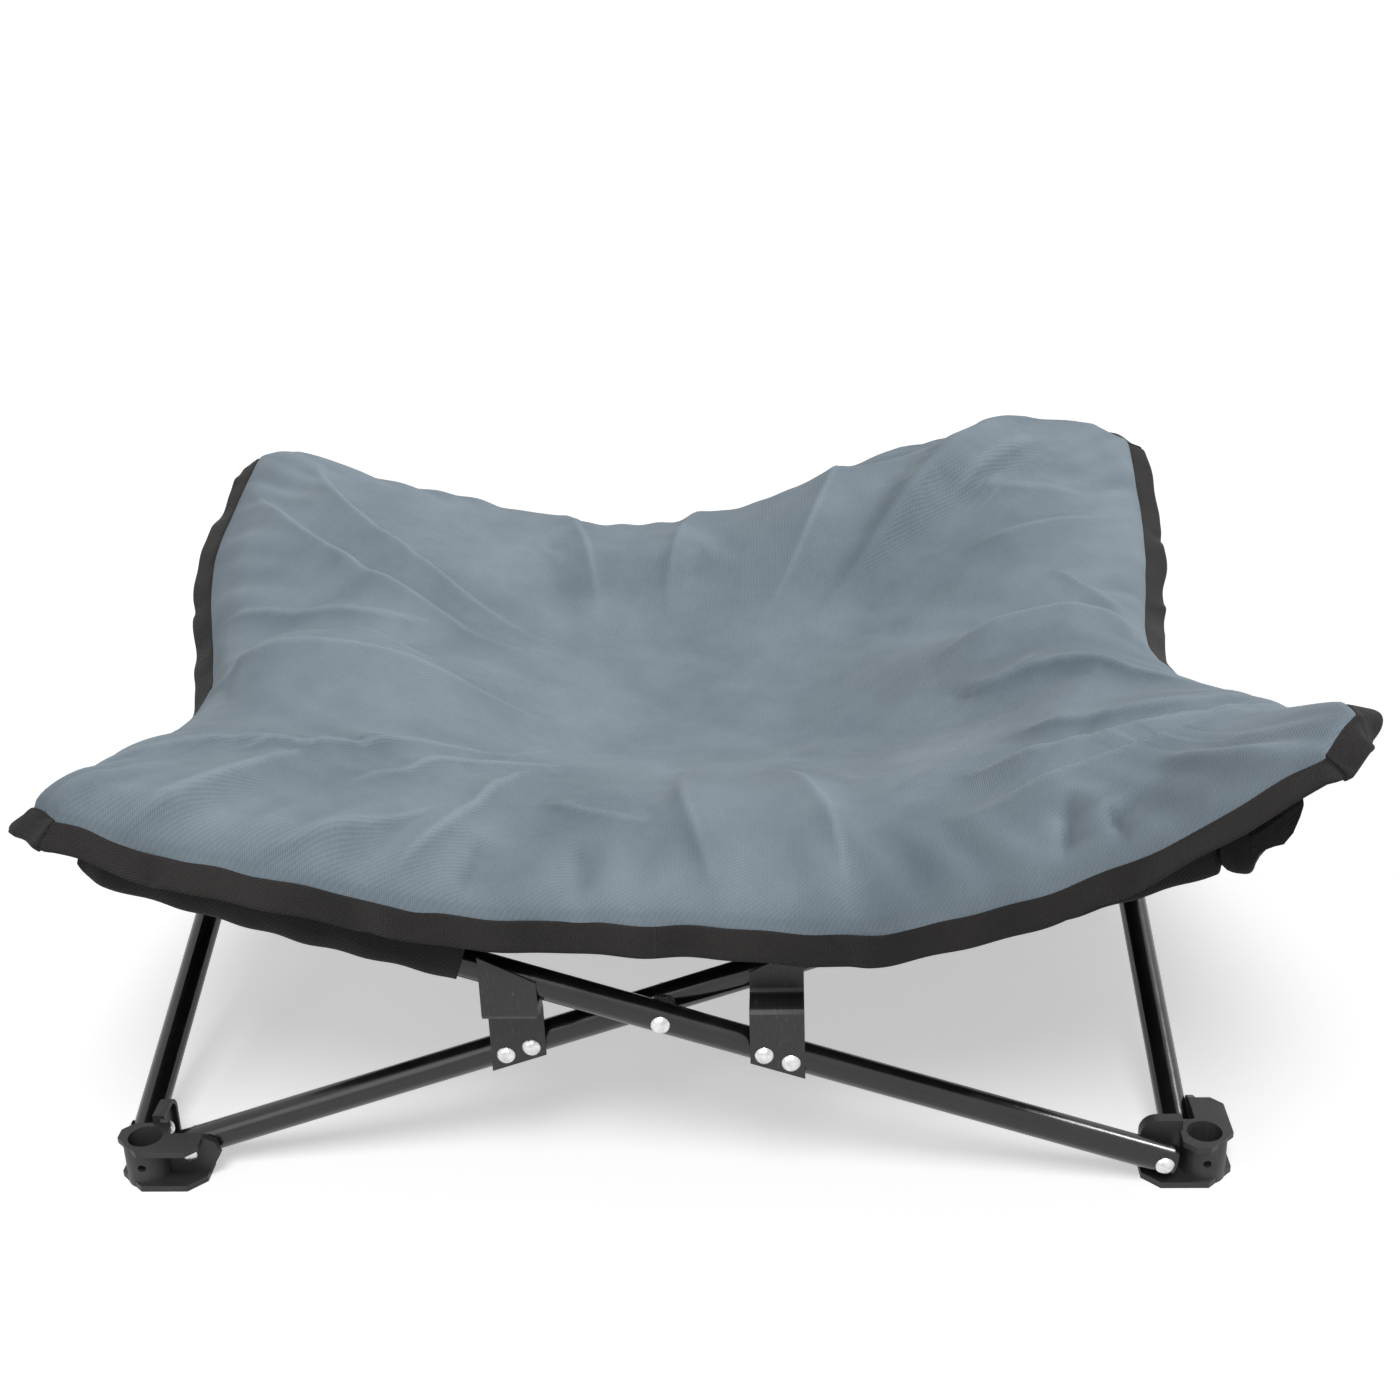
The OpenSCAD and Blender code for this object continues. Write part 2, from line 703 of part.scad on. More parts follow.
module tube_piece(i, way, piece) {
    if (piece == "tube") frame_tube(way);
    if (piece == "bracket") stop_bracket(way);
    if (piece == "rivets") tube_rivets(way);
    if (piece == "plug") tube_plug(way);
    if (piece == "sleeve") sleeve(way);
    if (piece == "pad_gore") pad_gore(i, way);
    if (piece == "binding") binding(i, way);
}

for (i = [0 : 3]) {
    on_side(i) corner_foot();
    for (tube = TUBES, piece = PIECES)
        on_side(i) tube_piece(i, tube[0], piece);
}
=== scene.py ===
"""Looks of a raised folding dog cot: a padded sling on a black scissor frame with corner feet.

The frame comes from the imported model. The pad, its edge binding and the tube sleeves are surfaces worked
out here in millimetres, in the same frame, and stored in metres. Round the pad, a place on its edge is a
walk p from 0 to 8: 0 is the middle of the front, 1 the front right corner, 2 the middle of the right side,
and so on.
"""
import math

import bpy
import numpy as np
from mathutils import Matrix, Vector


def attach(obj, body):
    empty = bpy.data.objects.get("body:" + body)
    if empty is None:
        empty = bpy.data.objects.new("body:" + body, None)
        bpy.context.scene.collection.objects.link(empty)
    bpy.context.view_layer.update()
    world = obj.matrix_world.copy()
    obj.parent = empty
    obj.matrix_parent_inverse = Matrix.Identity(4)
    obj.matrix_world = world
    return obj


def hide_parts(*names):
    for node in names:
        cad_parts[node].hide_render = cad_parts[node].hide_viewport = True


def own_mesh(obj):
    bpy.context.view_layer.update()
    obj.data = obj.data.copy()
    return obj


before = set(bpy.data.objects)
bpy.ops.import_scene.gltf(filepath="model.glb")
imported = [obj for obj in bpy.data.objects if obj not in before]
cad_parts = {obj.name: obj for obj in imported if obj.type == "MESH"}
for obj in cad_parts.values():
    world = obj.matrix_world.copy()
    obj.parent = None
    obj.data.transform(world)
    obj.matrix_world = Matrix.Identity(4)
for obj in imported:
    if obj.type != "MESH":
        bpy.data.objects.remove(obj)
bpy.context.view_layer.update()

MM = 0.001
# Keeps a division from 0
TINY = 1e-9
WALK = 8
# Tube body that carries each stretch of the walk from p to p + 1
CARRIERS = (
    "front_inner", "right_outer", "right_inner", "back_outer",
    "back_inner", "left_outer", "left_inner", "front_outer",
)
SIDES = ("front", "right", "back", "left")

# Frame sizes, as the solids have them
OPEN_ANGLE = math.radians(18.7)
SLOPE = math.tan(OPEN_ANGLE)
SIN_OPEN = math.sin(OPEN_ANGLE)
COS_OPEN = math.cos(OPEN_ANGLE)
# Height where the tubes of a side cross, and how far out the upright plane between them lies
PIVOT_Z = 102.005
PLANE = 280.5
TUBE_OFFSET = 9.0
TUBE_R = 8.0
# Hem and sewn end of a sleeve, along its tube from the crossing
SLEEVE_START = 106.1
SLEEVE_END = 288.6

# Pad sizes
PAD_MID = 306.0
PAD_CORNER = 336.0
PAD_BEVEL = 18.0
PAD_SEAT = 9.8 / COS_OPEN
PAD_SIDE_Z = 146.0
PAD_LIFT = 12.0
LIFT_RUN = 100.0
PAD_SAG = 48.0
SAG_EDGE = 244.0
SAG_POWER = 1.5
# Power of the rounded square that the sag fills
SAG_ROUND = 6
EDGE_T = 10.0
CROWN = 30.0
CROWN_POWER = 9
CROWN_SHAPE = 0.6
# Powers of the ring share by which the edge's own offset, its rise and its turned-up tip reach inwards
PUSH_POWER = 4
RISE_POWER = 4
TIP_POWER = 12
# Ring share where the swell starts, the share over which it comes to full height, and its power at the edge
SWELL_START = 0.25
SWELL_RUN = 0.4
SWELL_POWER = 10
# Ring shares over which the rolls and the creases fade at the edge
ROLL_FADE = 0.12
CREASE_FADE = 0.08
# Gathers along the sewn edge: height, counts and seed, then the ring share where they start, run and power
GATHERS = (1.2, (37, 52, 71, 88), 4)
GATHER_START = 0.75
GATHER_RUN = 0.2
GATHER_POWER = 30
BLEND_Z = 10.0
BLEND_DIAGONAL = 36.0
# Share of the way out where the underside leaves its seat for the raised edge
CURL_START = 0.88

# At every half step of the walk: how far the sewn edge lies outwards and upwards of its even line, and how
# much fuller than its even crown the pad is there
EDGE_OUT = (-5, -9, -8, -2, -8, -3, -10, -8, -8, -8, 15, 31, 2, -8, -40, -13)
EDGE_RISE = (4, -5, 25, 38, 20, 6, -6, 37, 8, 3, -19, 4, 2, 6, -2, 9)
EDGE_PUFF = (0, 2, -14, -2, 6, 6, -2, 26, 10, 2, -6, 4, 8, 2, 0, 4)
# The turned-up tip: its place on the walk, its height, and its run along the walk
TIP_PLACE = 1.12
TIP_RISE = 12.0
TIP_RUN = 0.12
# The hump of the filling at the back right: its place on the walk, its height, and its run along the walk
HUMP_PLACE = 3.17
HUMP_RISE = 30.0
HUMP_RUN = 0.12

# Grid cells over half of the pad's width
HALF_CELLS = 120


def smooth_step(x):
    """0 below 0, 1 above 1, and the cubic 3x^2 - 2x^3 between them."""
    x = np.clip(x, 0, 1)
    return x * x * (3 - 2 * x)


def smooth_max(a, b, k):
    """The greater of a and b, rounded over a width of about k: half of a + b + sqrt((a - b)^2 + k^2)."""
    return (a + b + np.sqrt((a - b) ** 2 + k * k)) / 2


def smooth_min(a, b, k):
    """The lesser of a and b, less (k - |a - b|)^2 / 4k where they differ by less than k."""
    near = np.maximum(k - np.abs(a - b), 0)
    return np.minimum(a, b) - near ** 2 / (4 * k)


def round_curve(p, values):
    """A closed curve through values spaced evenly over the walk: cubic Hermites between neighbours."""
    values = np.asarray(values, float)
    count = len(values)
    place = np.mod(p, WALK) * count / WALK
    k = np.floor(place).astype(int)
    u = place - k
    before, here, ahead, after = (values[(k + step) % count] for step in (-1, 0, 1, 2))
    return (
        here * (2 * u ** 3 - 3 * u ** 2 + 1) + ahead * (3 * u ** 2 - 2 * u ** 3)
        + (ahead - before) / 2 * (u ** 3 - 2 * u ** 2 + u) + (after - here) / 2 * (u ** 3 - u ** 2)
    )


def waves(p, height, counts, seed):
    """A closed, uneven wave of about the given height along the walk: sines of whole counts, phases drawn."""
    draw = np.random.default_rng(seed)
    phases = draw.uniform(0, 2 * np.pi, len(counts))
    total = sum(np.sin(2 * np.pi * count * p / WALK + phase) for count, phase in zip(counts, phases))
    return height * (total / math.sqrt(len(counts)))


def ring_place(p):
    """The place (xi, eta) on the square from -1 to 1 after a walk p round it: two clipped triangle waves."""
    def leg(q):
        return np.clip(2 - np.abs(np.mod(q + 2, WALK) - 4), -1, 1)
    return leg(p), leg(p - 2)


def ring_walk(xi, eta):
    """The ring share s = max(|xi|, |eta|) of a place on the square, and the walk p of its ray to the edge."""
    s = np.maximum(np.abs(xi), np.abs(eta))
    size = np.maximum(s, TINY)
    a, b = xi / size, eta / size
    level = np.abs(eta) >= np.abs(xi)
    p = np.where(level, np.where(eta < 0, a, 4 - a), np.where(xi > 0, 2 + b, 6 - b))
    return s, np.mod(p, WALK)


def edge_plan(t):
    """The even edge of a half side, along and out: out eases from mid to corner, then a straight cut."""
    end = PAD_CORNER - PAD_BEVEL
    start = end / PAD_CORNER
    run = np.clip(t / start, 0, 1)
    cut = np.clip((t - start) / (1 - start), 0, 1)
    along = end * run + cut * PAD_BEVEL / 2
    out = PAD_MID + (PAD_CORNER - PAD_MID) * smooth_step(run) - cut * PAD_BEVEL / 2
    return along, out


def bell(p, place, height, run):
    """A bell along the walk round its place: height times exp(-((p - place) / run)^2)."""
    return height * np.exp(-((p - place) / run) ** 2)


def turned_tip(p):
    """Height of the turned-up tip along the walk."""
    return bell(p, TIP_PLACE, TIP_RISE, TIP_RUN)


def pad_plan(xi, eta):
    """Plan (x, y) of a pad place: its ring share times the even edge, plus the edge's push along the ray."""
    s, p = ring_walk(xi, eta)
    t = np.minimum(np.abs(xi), np.abs(eta)) / np.maximum(s, TINY)
    along, out = edge_plan(t)
    level = np.abs(eta) >= np.abs(xi)
    x = np.sign(xi) * s * np.where(level, along, out)
    y = np.sign(eta) * s * np.where(level, out, along)
    reach = np.maximum(np.hypot(x, y), TINY)
    push = round_curve(p, EDGE_OUT) * s ** PUSH_POWER / reach
    return x + x * push, y + y * push


def pad_seat(x, y):
    """Height that the pad is held at: the tubes' V-shaped seat, lifted at the tips, less the middle's sag."""
    a = smooth_min(np.abs(x), np.abs(y), BLEND_DIAGONAL)
    seat = smooth_max(PIVOT_Z + a * SLOPE + PAD_SEAT, PAD_SIDE_Z, BLEND_Z)
    seat = seat + PAD_LIFT * smooth_step((a - PAD_CORNER + LIFT_RUN) / LIFT_RUN)
    reach = (np.abs(x) ** SAG_ROUND + np.abs(y) ** SAG_ROUND) ** (1 / SAG_ROUND)
    return seat - PAD_SAG * np.clip(1 - (reach / SAG_EDGE) ** 2, 0, 1) ** SAG_POWER


def pad_underside(xi, eta, x, y):
    """Height of the pad's underside: its seat, then a smooth curl up to the raised edge."""
    s, p = ring_walk(xi, eta)
    rise = round_curve(p, EDGE_RISE) + turned_tip(p)
    return pad_seat(x, y) + rise * smooth_step((s - CURL_START) / (1 - CURL_START))


# Soft rolls and hollows of the filling, and below them thin creases of the cloth: start and end in plan, bow
# to the left, height and width, and for a crease its skew to the left. The dents are creases that go down
ROLLS = (
    ((-318, -6), (-90, -40), 0, 16, 34),
    ((-318, 62), (-110, 40), 0, -12, 26),
    ((318, 4), (120, -20), 0, 12, 32),
    ((318, 66), (120, 40), 0, -12, 26),
)
CREASES = (
    ((-292, -316), (-192, -190), -30, 11, 16, -0.5),
    ((-292, -236), (-85, -92), -26, 10, 16, -0.5),
    ((-262, -318), (-100, -232), -22, 9, 14, -0.5),
    ((-160, -236), (-46, -132), 9, 8, 13, -0.5),
    ((-131, -299), (-76, -159), -11, 8, 13, -0.5),
    ((-60, -223), (-5, -236), -8, 7, 11, -0.4),
    ((-300, -42), (-100, -36), 0, 11, 15, 0.65),
    ((-330, 252), (-125, 72), -30, 13, 18, 0.6),
    ((-288, 279), (-120, 100), -25, 13, 18, 0.6),
    ((-328, 100), (-150, 82), -18, 8, 13, -0.4),
    ((-228, 55), (-160, -15), -10, 7, 11, 0.4),
    ((165, -15), (300, -25), 10, 10, 14, 0.6),
    ((173, -78), (219, -55), -10, 8, 11, -0.4),
    ((176, -81), (300, -140), 22, 10, 14, -0.5),
    ((190, -176), (310, -195), -6, 10, 14, -0.5),
    ((165, -222), (300, -210), -14, 12, 14, 0.5),
    ((160, -266), (316, -218), -14, 12, 13, 0.6),
    ((250, -268), (316, -332), -8, 7, 11, 0.3),
    ((190, 203), (260, 270), -2, 8, 14, -0.4),
    ((200, 208), (285, 215), -3, 7, 13, -0.4),
    ((195, 148), (295, 186), -9, 7, 13, 0.4),
    ((250, 108), (297, 60), -3, 7, 11, 0.3),
    ((30, -285), (10, -140), 8, 7, 13, 0.3),
    ((95, -290), (60, -150), -6, 8, 14, -0.3),
    ((110, 290), (55, 120), 10, 8, 14, 0.3),
    ((10, 285), (-15, 130), -8, 7, 14, -0.3),
    ((-110, 290), (-65, 130), 6, 8, 14, 0.3),
)
DENTS = (
    ((206, -280), (199, -315), 0, -8, 8, 0),
    ((222, -295), (230, -327), 0, -8, 8, 0),
    ((-90, -262), (-97, -305), 0, -5, 9, 0),
    ((-40, -258), (-36, -305), 0, -5, 9, 0),
)
# Ends of a roll and of a crease, in shares of its length: how far ahead of its start it begins to rise and
# over which run, and how far past its end it has fallen and over which run
ROLL_ENDS = (0.05, 0.3, 0.05, 0.4)
CREASE_ENDS = (0.1, 0.35, 0.15, 0.6)
# Half width of the round top of a crease
CREST_EDGE = 1.2
# Bound on a roll's off / width, so that its cosh stays a number
COSH_BOUND = 30
# Power by which creases that meet are blended
BLEND_POWER = 4


def along_line(x, y, start, end, bow):
    """Share u of the way along a bowed line, and the distance off it, of each place in plan."""
    start, end = np.array(start, float), np.array(end, float)
    length = np.hypot(*(end - start))
    ahead = (end - start) / length
    u = ((x - start[0]) * ahead[0] + (y - start[1]) * ahead[1]) / length
    off = (y - start[1]) * ahead[0] - (x - start[0]) * ahead[1] - bow * 4 * u * (1 - u)
    return u, off


def eased_ends(u, ahead, rise, past, fall):
    """1 along a line and 0 beyond its ends: one smooth step up at its start times one down at its end."""
    return smooth_step((u + ahead) / rise) * smooth_step((1 + past - u) / fall)


def roll(x, y, start, end, bow, height, width):
    """A broad roll: height / cosh(off / width), easing to nothing at both ends."""
    u, off = along_line(x, y, start, end, bow)
    ease = eased_ends(u, *ROLL_ENDS)
    return height * ease / np.cosh(np.clip(off / width, -COSH_BOUND, COSH_BOUND))


def crease(x, y, start, end, bow, height, width, skew):
    """A thin crest with a round top that falls away on both sides by exp(-off / width).

    The width is 1 - skew times as great on the left of the line and 1 + skew times as great on its right.
    """
    u, off = along_line(x, y, start, end, bow)
    ease = eased_ends(u, *CREASE_ENDS)
    side_width = width * (1 - skew * np.tanh(off / CREST_EDGE))
    return height * ease * np.exp((CREST_EDGE - np.hypot(off, CREST_EDGE)) / side_width)


def pad_top(xi, eta, x, y):
    """Height of the filled pad's top: its seat, the edge's rise by s^4 and the tip's by s^12, a crown of
    (1 - s^9)^0.6, the swell round the walk by 1 - s^10, and the rolls.
    """
    s, p = ring_walk(xi, eta)
    crown = CROWN * np.clip(1 - s ** CROWN_POWER, 0, 1) ** CROWN_SHAPE
    puff = round_curve(p, EDGE_PUFF) + bell(p, HUMP_PLACE, HUMP_RISE, HUMP_RUN)
    swell = puff * smooth_step((s - SWELL_START) / SWELL_RUN) * (1 - s ** SWELL_POWER)
    rolls = sum(roll(x, y, *one) for one in ROLLS) * smooth_step((1 - s) / ROLL_FADE)
    rise = round_curve(p, EDGE_RISE) * s ** RISE_POWER + turned_tip(p) * s ** TIP_POWER
    return pad_seat(x, y) + rise + EDGE_T + crown + swell + rolls


def cloth_creases(xi, eta, x, y):
    """Height added to the top: the creases, the dents, and gathers along the sewn edge.

    Where creases meet, the fourth root of the sum of their fourth powers keeps them from piling up.
    """
    s, p = ring_walk(xi, eta)
    creases = sum(crease(x, y, *one) ** BLEND_POWER for one in CREASES) ** (1 / BLEND_POWER)
    creases = (creases + sum(crease(x, y, *one) for one in DENTS)) * smooth_step((1 - s) / CREASE_FADE)
    gathers = waves(p, *GATHERS) * smooth_step((s - GATHER_START) / GATHER_RUN) * (1 - s ** GATHER_POWER)
    return creases + gathers


def new_mesh(name, points, faces, materials):
    """A mesh object at the origin from points in millimetres and faces of one size, smooth shaded."""
    mesh = bpy.data.meshes.new(name)
    mesh.from_pydata((np.asarray(points, float) * MM).tolist(), [], np.asarray(faces).tolist())
    for material in materials:
        mesh.materials.append(material)
    mesh.shade_smooth()
    obj = bpy.data.objects.new(name, mesh)
    bpy.context.scene.collection.objects.link(obj)
    return obj


def surface_normals(grid):
    """Unit normals of a grid of points: the cross product of its two central differences."""
    normals = np.cross(np.gradient(grid, axis=0), np.gradient(grid, axis=1))
    return normals / np.maximum(np.linalg.norm(normals, axis=2, keepdims=True), TINY)


def set_uv(mesh, name, corner_uv):
    """Adds a UV map of the given name with one place for every face corner."""
    layer = mesh.uv_layers.new(name=name)
    layer.data.foreach_set("uv", np.asarray(corner_uv, np.float32).ravel())


# Materials

def new_material(name):
    """An empty node material: its tree, its shader and a function that adds a linked node."""
    material = bpy.data.materials.new(name)
    material.use_nodes = True
    tree = material.node_tree
    shader = tree.nodes["Principled BSDF"]

    def node(kind, inputs=(), **settings):
        made = tree.nodes.new(kind)
        for key, value in settings.items():
            setattr(made, key, value)
        for key, value in dict(inputs).items():
            if isinstance(value, bpy.types.NodeSocket):
                tree.links.new(value, made.inputs[key])
            else:
                made.inputs[key].default_value = value
        return made

    return material, tree, shader, node


def ramp(node, factor, stops):
    """A colour ramp through (place, colour) stops."""
    made = node("ShaderNodeValToRGB", {"Fac": factor})
    elements = made.color_ramp.elements
    while len(elements) < len(stops):
        elements.new(0.5)
    for element, (place, colour) in zip(elements, stops):
        element.position = place
        element.color = (*colour, 1)
    return made.outputs["Color"]


def noise(node, place, scale, detail, roughness=0.5):
    """Noise from 0 to 1 at a place: layers of ever finer grain, each weaker by the roughness."""
    inputs = {"Vector": place, "Scale": scale, "Detail": detail, "Roughness": roughness}
    return node("ShaderNodeTexNoise", inputs).outputs["Fac"]


def mapped(node, value, low, high, start=0.0, end=1.0):
    """A value mapped evenly from start..end to low..high."""
    inputs = {"Value": value, "From Min": start, "From Max": end, "To Min": low, "To Max": high}
    return node("ShaderNodeMapRange", inputs).outputs["Result"]


def add_share(node, value, share, total):
    """A total plus a share of a value."""
    return node("ShaderNodeMath", {0: value, 1: share, 2: total}, operation="MULTIPLY_ADD").outputs[0]


def emboss(tree, shader, node, height, strength, depth):
    """Bends the shader's normals by a height pattern of the given strength and depth in metres."""
    bump = node("ShaderNodeBump", {"Height": height, "Strength": strength, "Distance": depth})
    tree.links.new(bump.outputs["Normal"], shader.inputs["Normal"])


# Slant of the twill's ribs, and the pitch of the threads across them as a share of the ribs' pitch
RIB_SLANT = math.radians(58)
THREAD_SHARE = 0.62
# How much the weave and the fuzz change the cloth's dye, and how strongly a painted highlight on crest lines
# and painted shade in valleys are laid on
WEAVE_TINT = 0.11
FUZZ_TINT = 0.22
PAINTED_CREST_LIGHT_TINT = 0.2
# Height of the fuzz as a share of the weave's, and the depth of both in metres
FUZZ_HEIGHT = 0.5
WEAVE_DEPTH = 0.0006
# Stretch of the mixed dye over which the cloth goes from dark to light
DYE_START = 0.45
DYE_END = 1.0


def wave_scale(pitch):
    """Scale of a wave texture whose bands are a pitch apart: it repeats every pi / (10 scale)."""
    return math.pi / (10 * pitch * MM)


def twill_cloth(name, dark, light, pitch, sheen, rib_depth):
    """Woven cloth on the piece's own cloth map: slanted ribs of a wave texture, and uneven dye from noise.

    Painted light: it is paler on crest lines as a painted highlight and darker in valleys as painted shade,
    where the mesh has an attribute for them.
    """
    material, tree, shader, node = new_material(name)
    cloth = node("ShaderNodeUVMap", uv_map="cloth").outputs["UV"]
    slanted = node("ShaderNodeMapping", {"Vector": cloth, "Rotation": (0, 0, RIB_SLANT)})
    ribs = node(
        "ShaderNodeTexWave",
        {"Vector": slanted.outputs["Vector"], "Scale": wave_scale(pitch), "Distortion": 0.6,
         "Detail": 1.0, "Detail Scale": 0.6},
    ).outputs["Fac"]
    threads = node(
        "ShaderNodeTexWave",
        {"Vector": cloth, "Scale": wave_scale(pitch * THREAD_SHARE), "Distortion": 0.8, "Detail Scale": 1.0},
    ).outputs["Fac"]
    place = node("ShaderNodeTexCoord").outputs["Object"]
    dye = noise(node, place, 11.0, 5.0, 0.6)
    fuzz = noise(node, place, 900.0, 2.0)
    weave = node("ShaderNodeMath", {0: ribs, 1: threads}, operation="ADD").outputs[0]
    mixed = add_share(node, weave, WEAVE_TINT, dye)
    mixed = add_share(node, fuzz, FUZZ_TINT, mixed)
    # The crest attribute carries painted light: a painted highlight on crest lines and painted shade in
    # valleys
    crest = node("ShaderNodeAttribute", attribute_name="crest").outputs["Fac"]
    mixed = add_share(node, crest, PAINTED_CREST_LIGHT_TINT, mixed)
    colour = ramp(node, mixed, ((DYE_START, dark), (DYE_END, light)))
    tree.links.new(colour, shader.inputs["Base Color"])
    emboss(tree, shader, node, add_share(node, fuzz, FUZZ_HEIGHT, weave), rib_depth, WEAVE_DEPTH)
    shader.inputs["Roughness"].default_value = 0.88
    shader.inputs["Specular IOR Level"].default_value = 0.25
    shader.inputs["Sheen Weight"].default_value = sheen
    shader.inputs["Sheen Roughness"].default_value = 0.45
    return material


def gloss_coat():
    """Gloss black powder coat: near black, with faint orange peel and dust in its roughness."""
    material, tree, shader, node = new_material("gloss_coat")
    place = node("ShaderNodeTexCoord").outputs["Object"]
    peel = noise(node, place, 420.0, 2.0)
    dust = noise(node, place, 38.0, 6.0, 0.7)
    colour = ramp(node, dust, ((0.35, (0.005, 0.005, 0.005)), (0.8, (0.012, 0.0115, 0.011))))
    tree.links.new(colour, shader.inputs["Base Color"])
    tree.links.new(mapped(node, dust, 0.13, 0.26, 0.3, 0.75), shader.inputs["Roughness"])
    emboss(tree, shader, node, peel, 0.05, 0.0004)
    shader.inputs["Specular IOR Level"].default_value = 0.6
    return material


def satin_steel():
    """Satin black pressed steel: fine grain, and thin pale scratches from stretched noise."""
    material, tree, shader, node = new_material("satin_steel")
    place = node("ShaderNodeTexCoord").outputs["Object"]
    grain = noise(node, place, 1500.0, 3.0)
    stretched = {"Vector": place, "Rotation": (0.4, 0.7, 0.3), "Scale": (900.0, 60.0, 300.0)}
    along = node("ShaderNodeMapping", stretched).outputs["Vector"]
    streaks = noise(node, along, 1.0, 3.0)
    colour = ramp(
        node, streaks,
        ((0.3, (0.017, 0.016, 0.016)), (0.66, (0.026, 0.025, 0.024)), (0.74, (0.075, 0.073, 0.07))),
    )
    tree.links.new(colour, shader.inputs["Base Color"])
    tree.links.new(mapped(node, streaks, 0.5, 0.34), shader.inputs["Roughness"])
    emboss(tree, shader, node, grain, 0.18, 0.0003)
    return material


def bright_steel():
    """Bright plated rivets: metal with a little tarnish from noise in its colour and roughness."""
    material, tree, shader, node = new_material("bright_steel")
    place = node("ShaderNodeTexCoord").outputs["Object"]
    tarnish = noise(node, place, 260.0, 5.0, 0.65)
    colour = ramp(node, tarnish, ((0.3, (0.52, 0.52, 0.53)), (0.62, (0.83, 0.83, 0.84))))
    tree.links.new(colour, shader.inputs["Base Color"])
    tree.links.new(mapped(node, tarnish, 0.36, 0.2), shader.inputs["Roughness"])
    shader.inputs["Metallic"].default_value = 1.0
    return material


def moulded_plastic():
    """Matt black moulded plastic: spark-eroded grain, with greyer scuffs where noise is high."""
    material, tree, shader, node = new_material("moulded_black")
    place = node("ShaderNodeTexCoord").outputs["Object"]
    grain = noise(node, place, 1100.0, 3.0)
    scuff = noise(node, place, 70.0, 7.0, 0.72)
    colour = ramp(
        node, scuff,
        ((0.3, (0.019, 0.018, 0.018)), (0.62, (0.03, 0.029, 0.028)), (0.78, (0.06, 0.058, 0.055))),
    )
    tree.links.new(colour, shader.inputs["Base Color"])
    tree.links.new(mapped(node, scuff, 0.62, 0.44), shader.inputs["Roughness"])
    emboss(tree, shader, node, grain, 0.25, 0.0003)
    return material


PAD_CLOTH = twill_cloth("slate_twill", (0.135, 0.172, 0.205), (0.235, 0.287, 0.328), 1.7, 0.12, 0.25)
BASE_CLOTH = twill_cloth("black_oxford", (0.011, 0.0105, 0.0105), (0.03, 0.0285, 0.028), 1.3, 0.05, 0.5)
TAPE = twill_cloth("binding_twill", (0.012, 0.0112, 0.011), (0.036, 0.033, 0.032), 1.2, 0.06, 0.6)

FINISHES = {
    "tube": gloss_coat(),
    "bracket": satin_steel(),
    "rivets": bright_steel(),
    "plug": moulded_plastic(),
}
FINISHES["foot"] = FINISHES["plug"]
# Radius of the edges of moulded and pressed pieces, and the least turn of an edge that is rounded
ROUNDINGS = {"foot": 0.7, "bracket": 0.35}
SHARP_EDGE = math.radians(35)
# Distance in metres under which a solid's loose corners are one
WELD_GAP = 1e-5


def round_edges(obj, radius):
    """Rounds the sharp edges of a solid, with its normals kept flat on its faces."""
    weld = obj.modifiers.new("weld", "WELD")
    weld.merge_threshold = WELD_GAP
    bevel = obj.modifiers.new("rounding", "BEVEL")
    bevel.width = radius * MM
    bevel.segments = 2
    bevel.limit_method = "ANGLE"
    bevel.angle_limit = SHARP_EDGE
    bevel.harden_normals = True


for name, node_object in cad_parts.items():
    kind = name.rsplit("_", 1)[-1]
    if kind in FINISHES:
        node_object.data.materials.clear()
        node_object.data.materials.append(FINISHES[kind])
    if kind in ROUNDINGS:
        round_edges(node_object, ROUNDINGS[kind])


# Pad

# Settling of the top cloth: its frames, the most that a point moves, how firmly the filling holds it, the
# ring share where the sewn edge's hold starts and the share over which it is full, and how much too large
# the cloth is cut
SETTLE_FRAMES = 20
SETTLE_CAP = 12.0
SETTLE_HOLD = 0.02
HOLD_START = 0.93
HOLD_RUN = 0.06
SPARE_CLOTH = 0.03
# Height over its neighbours at which a point counts as a sharp crest and gets the full painted highlight; a
# point as far below them gets the full painted shade
CREST_FULL = 0.35


def fold_away(obj, carrier):
    """Makes a cloth piece ride on its tube: it hangs under the tube's body and gets a mesh of its own."""
    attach(obj, carrier)
    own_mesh(obj)


def pad_surfaces():
    """The whole pad over one square grid: plan, underside and top as grids of points."""
    line = np.linspace(-1, 1, 2 * HALF_CELLS + 1)
    xi, eta = np.meshgrid(line, line, indexing="ij")
    x, y = pad_plan(xi, eta)
    low = pad_underside(xi, eta, x, y)
    high = pad_top(xi, eta, x, y)
    return xi, eta, np.stack([x, y, low], axis=2), np.stack([x, y, high], axis=2)


def halve_steps(grid):
    """Puts a point between each two rows: the weights (-1, 9, 9, -1) / 16 over its four neighbours."""
    padded = np.concatenate([2 * grid[:1] - grid[1:2], grid, 2 * grid[-1:] - grid[-2:-1]])
    between = (9 * (padded[1:-2] + padded[2:-1]) - padded[:-3] - padded[3:]) / 16
    fine = np.empty((2 * len(grid) - 1, *grid.shape[1:]))
    fine[::2] = grid
    fine[1::2] = between
    return fine


def cell_corners(n):
    """Point numbers at the four corners of every cell of a grid of n by n points, in turn round the cell."""
    number = np.arange(n * n).reshape(n, n)
    return number[:-1, :-1], number[1:, :-1], number[1:, 1:], number[:-1, 1:]


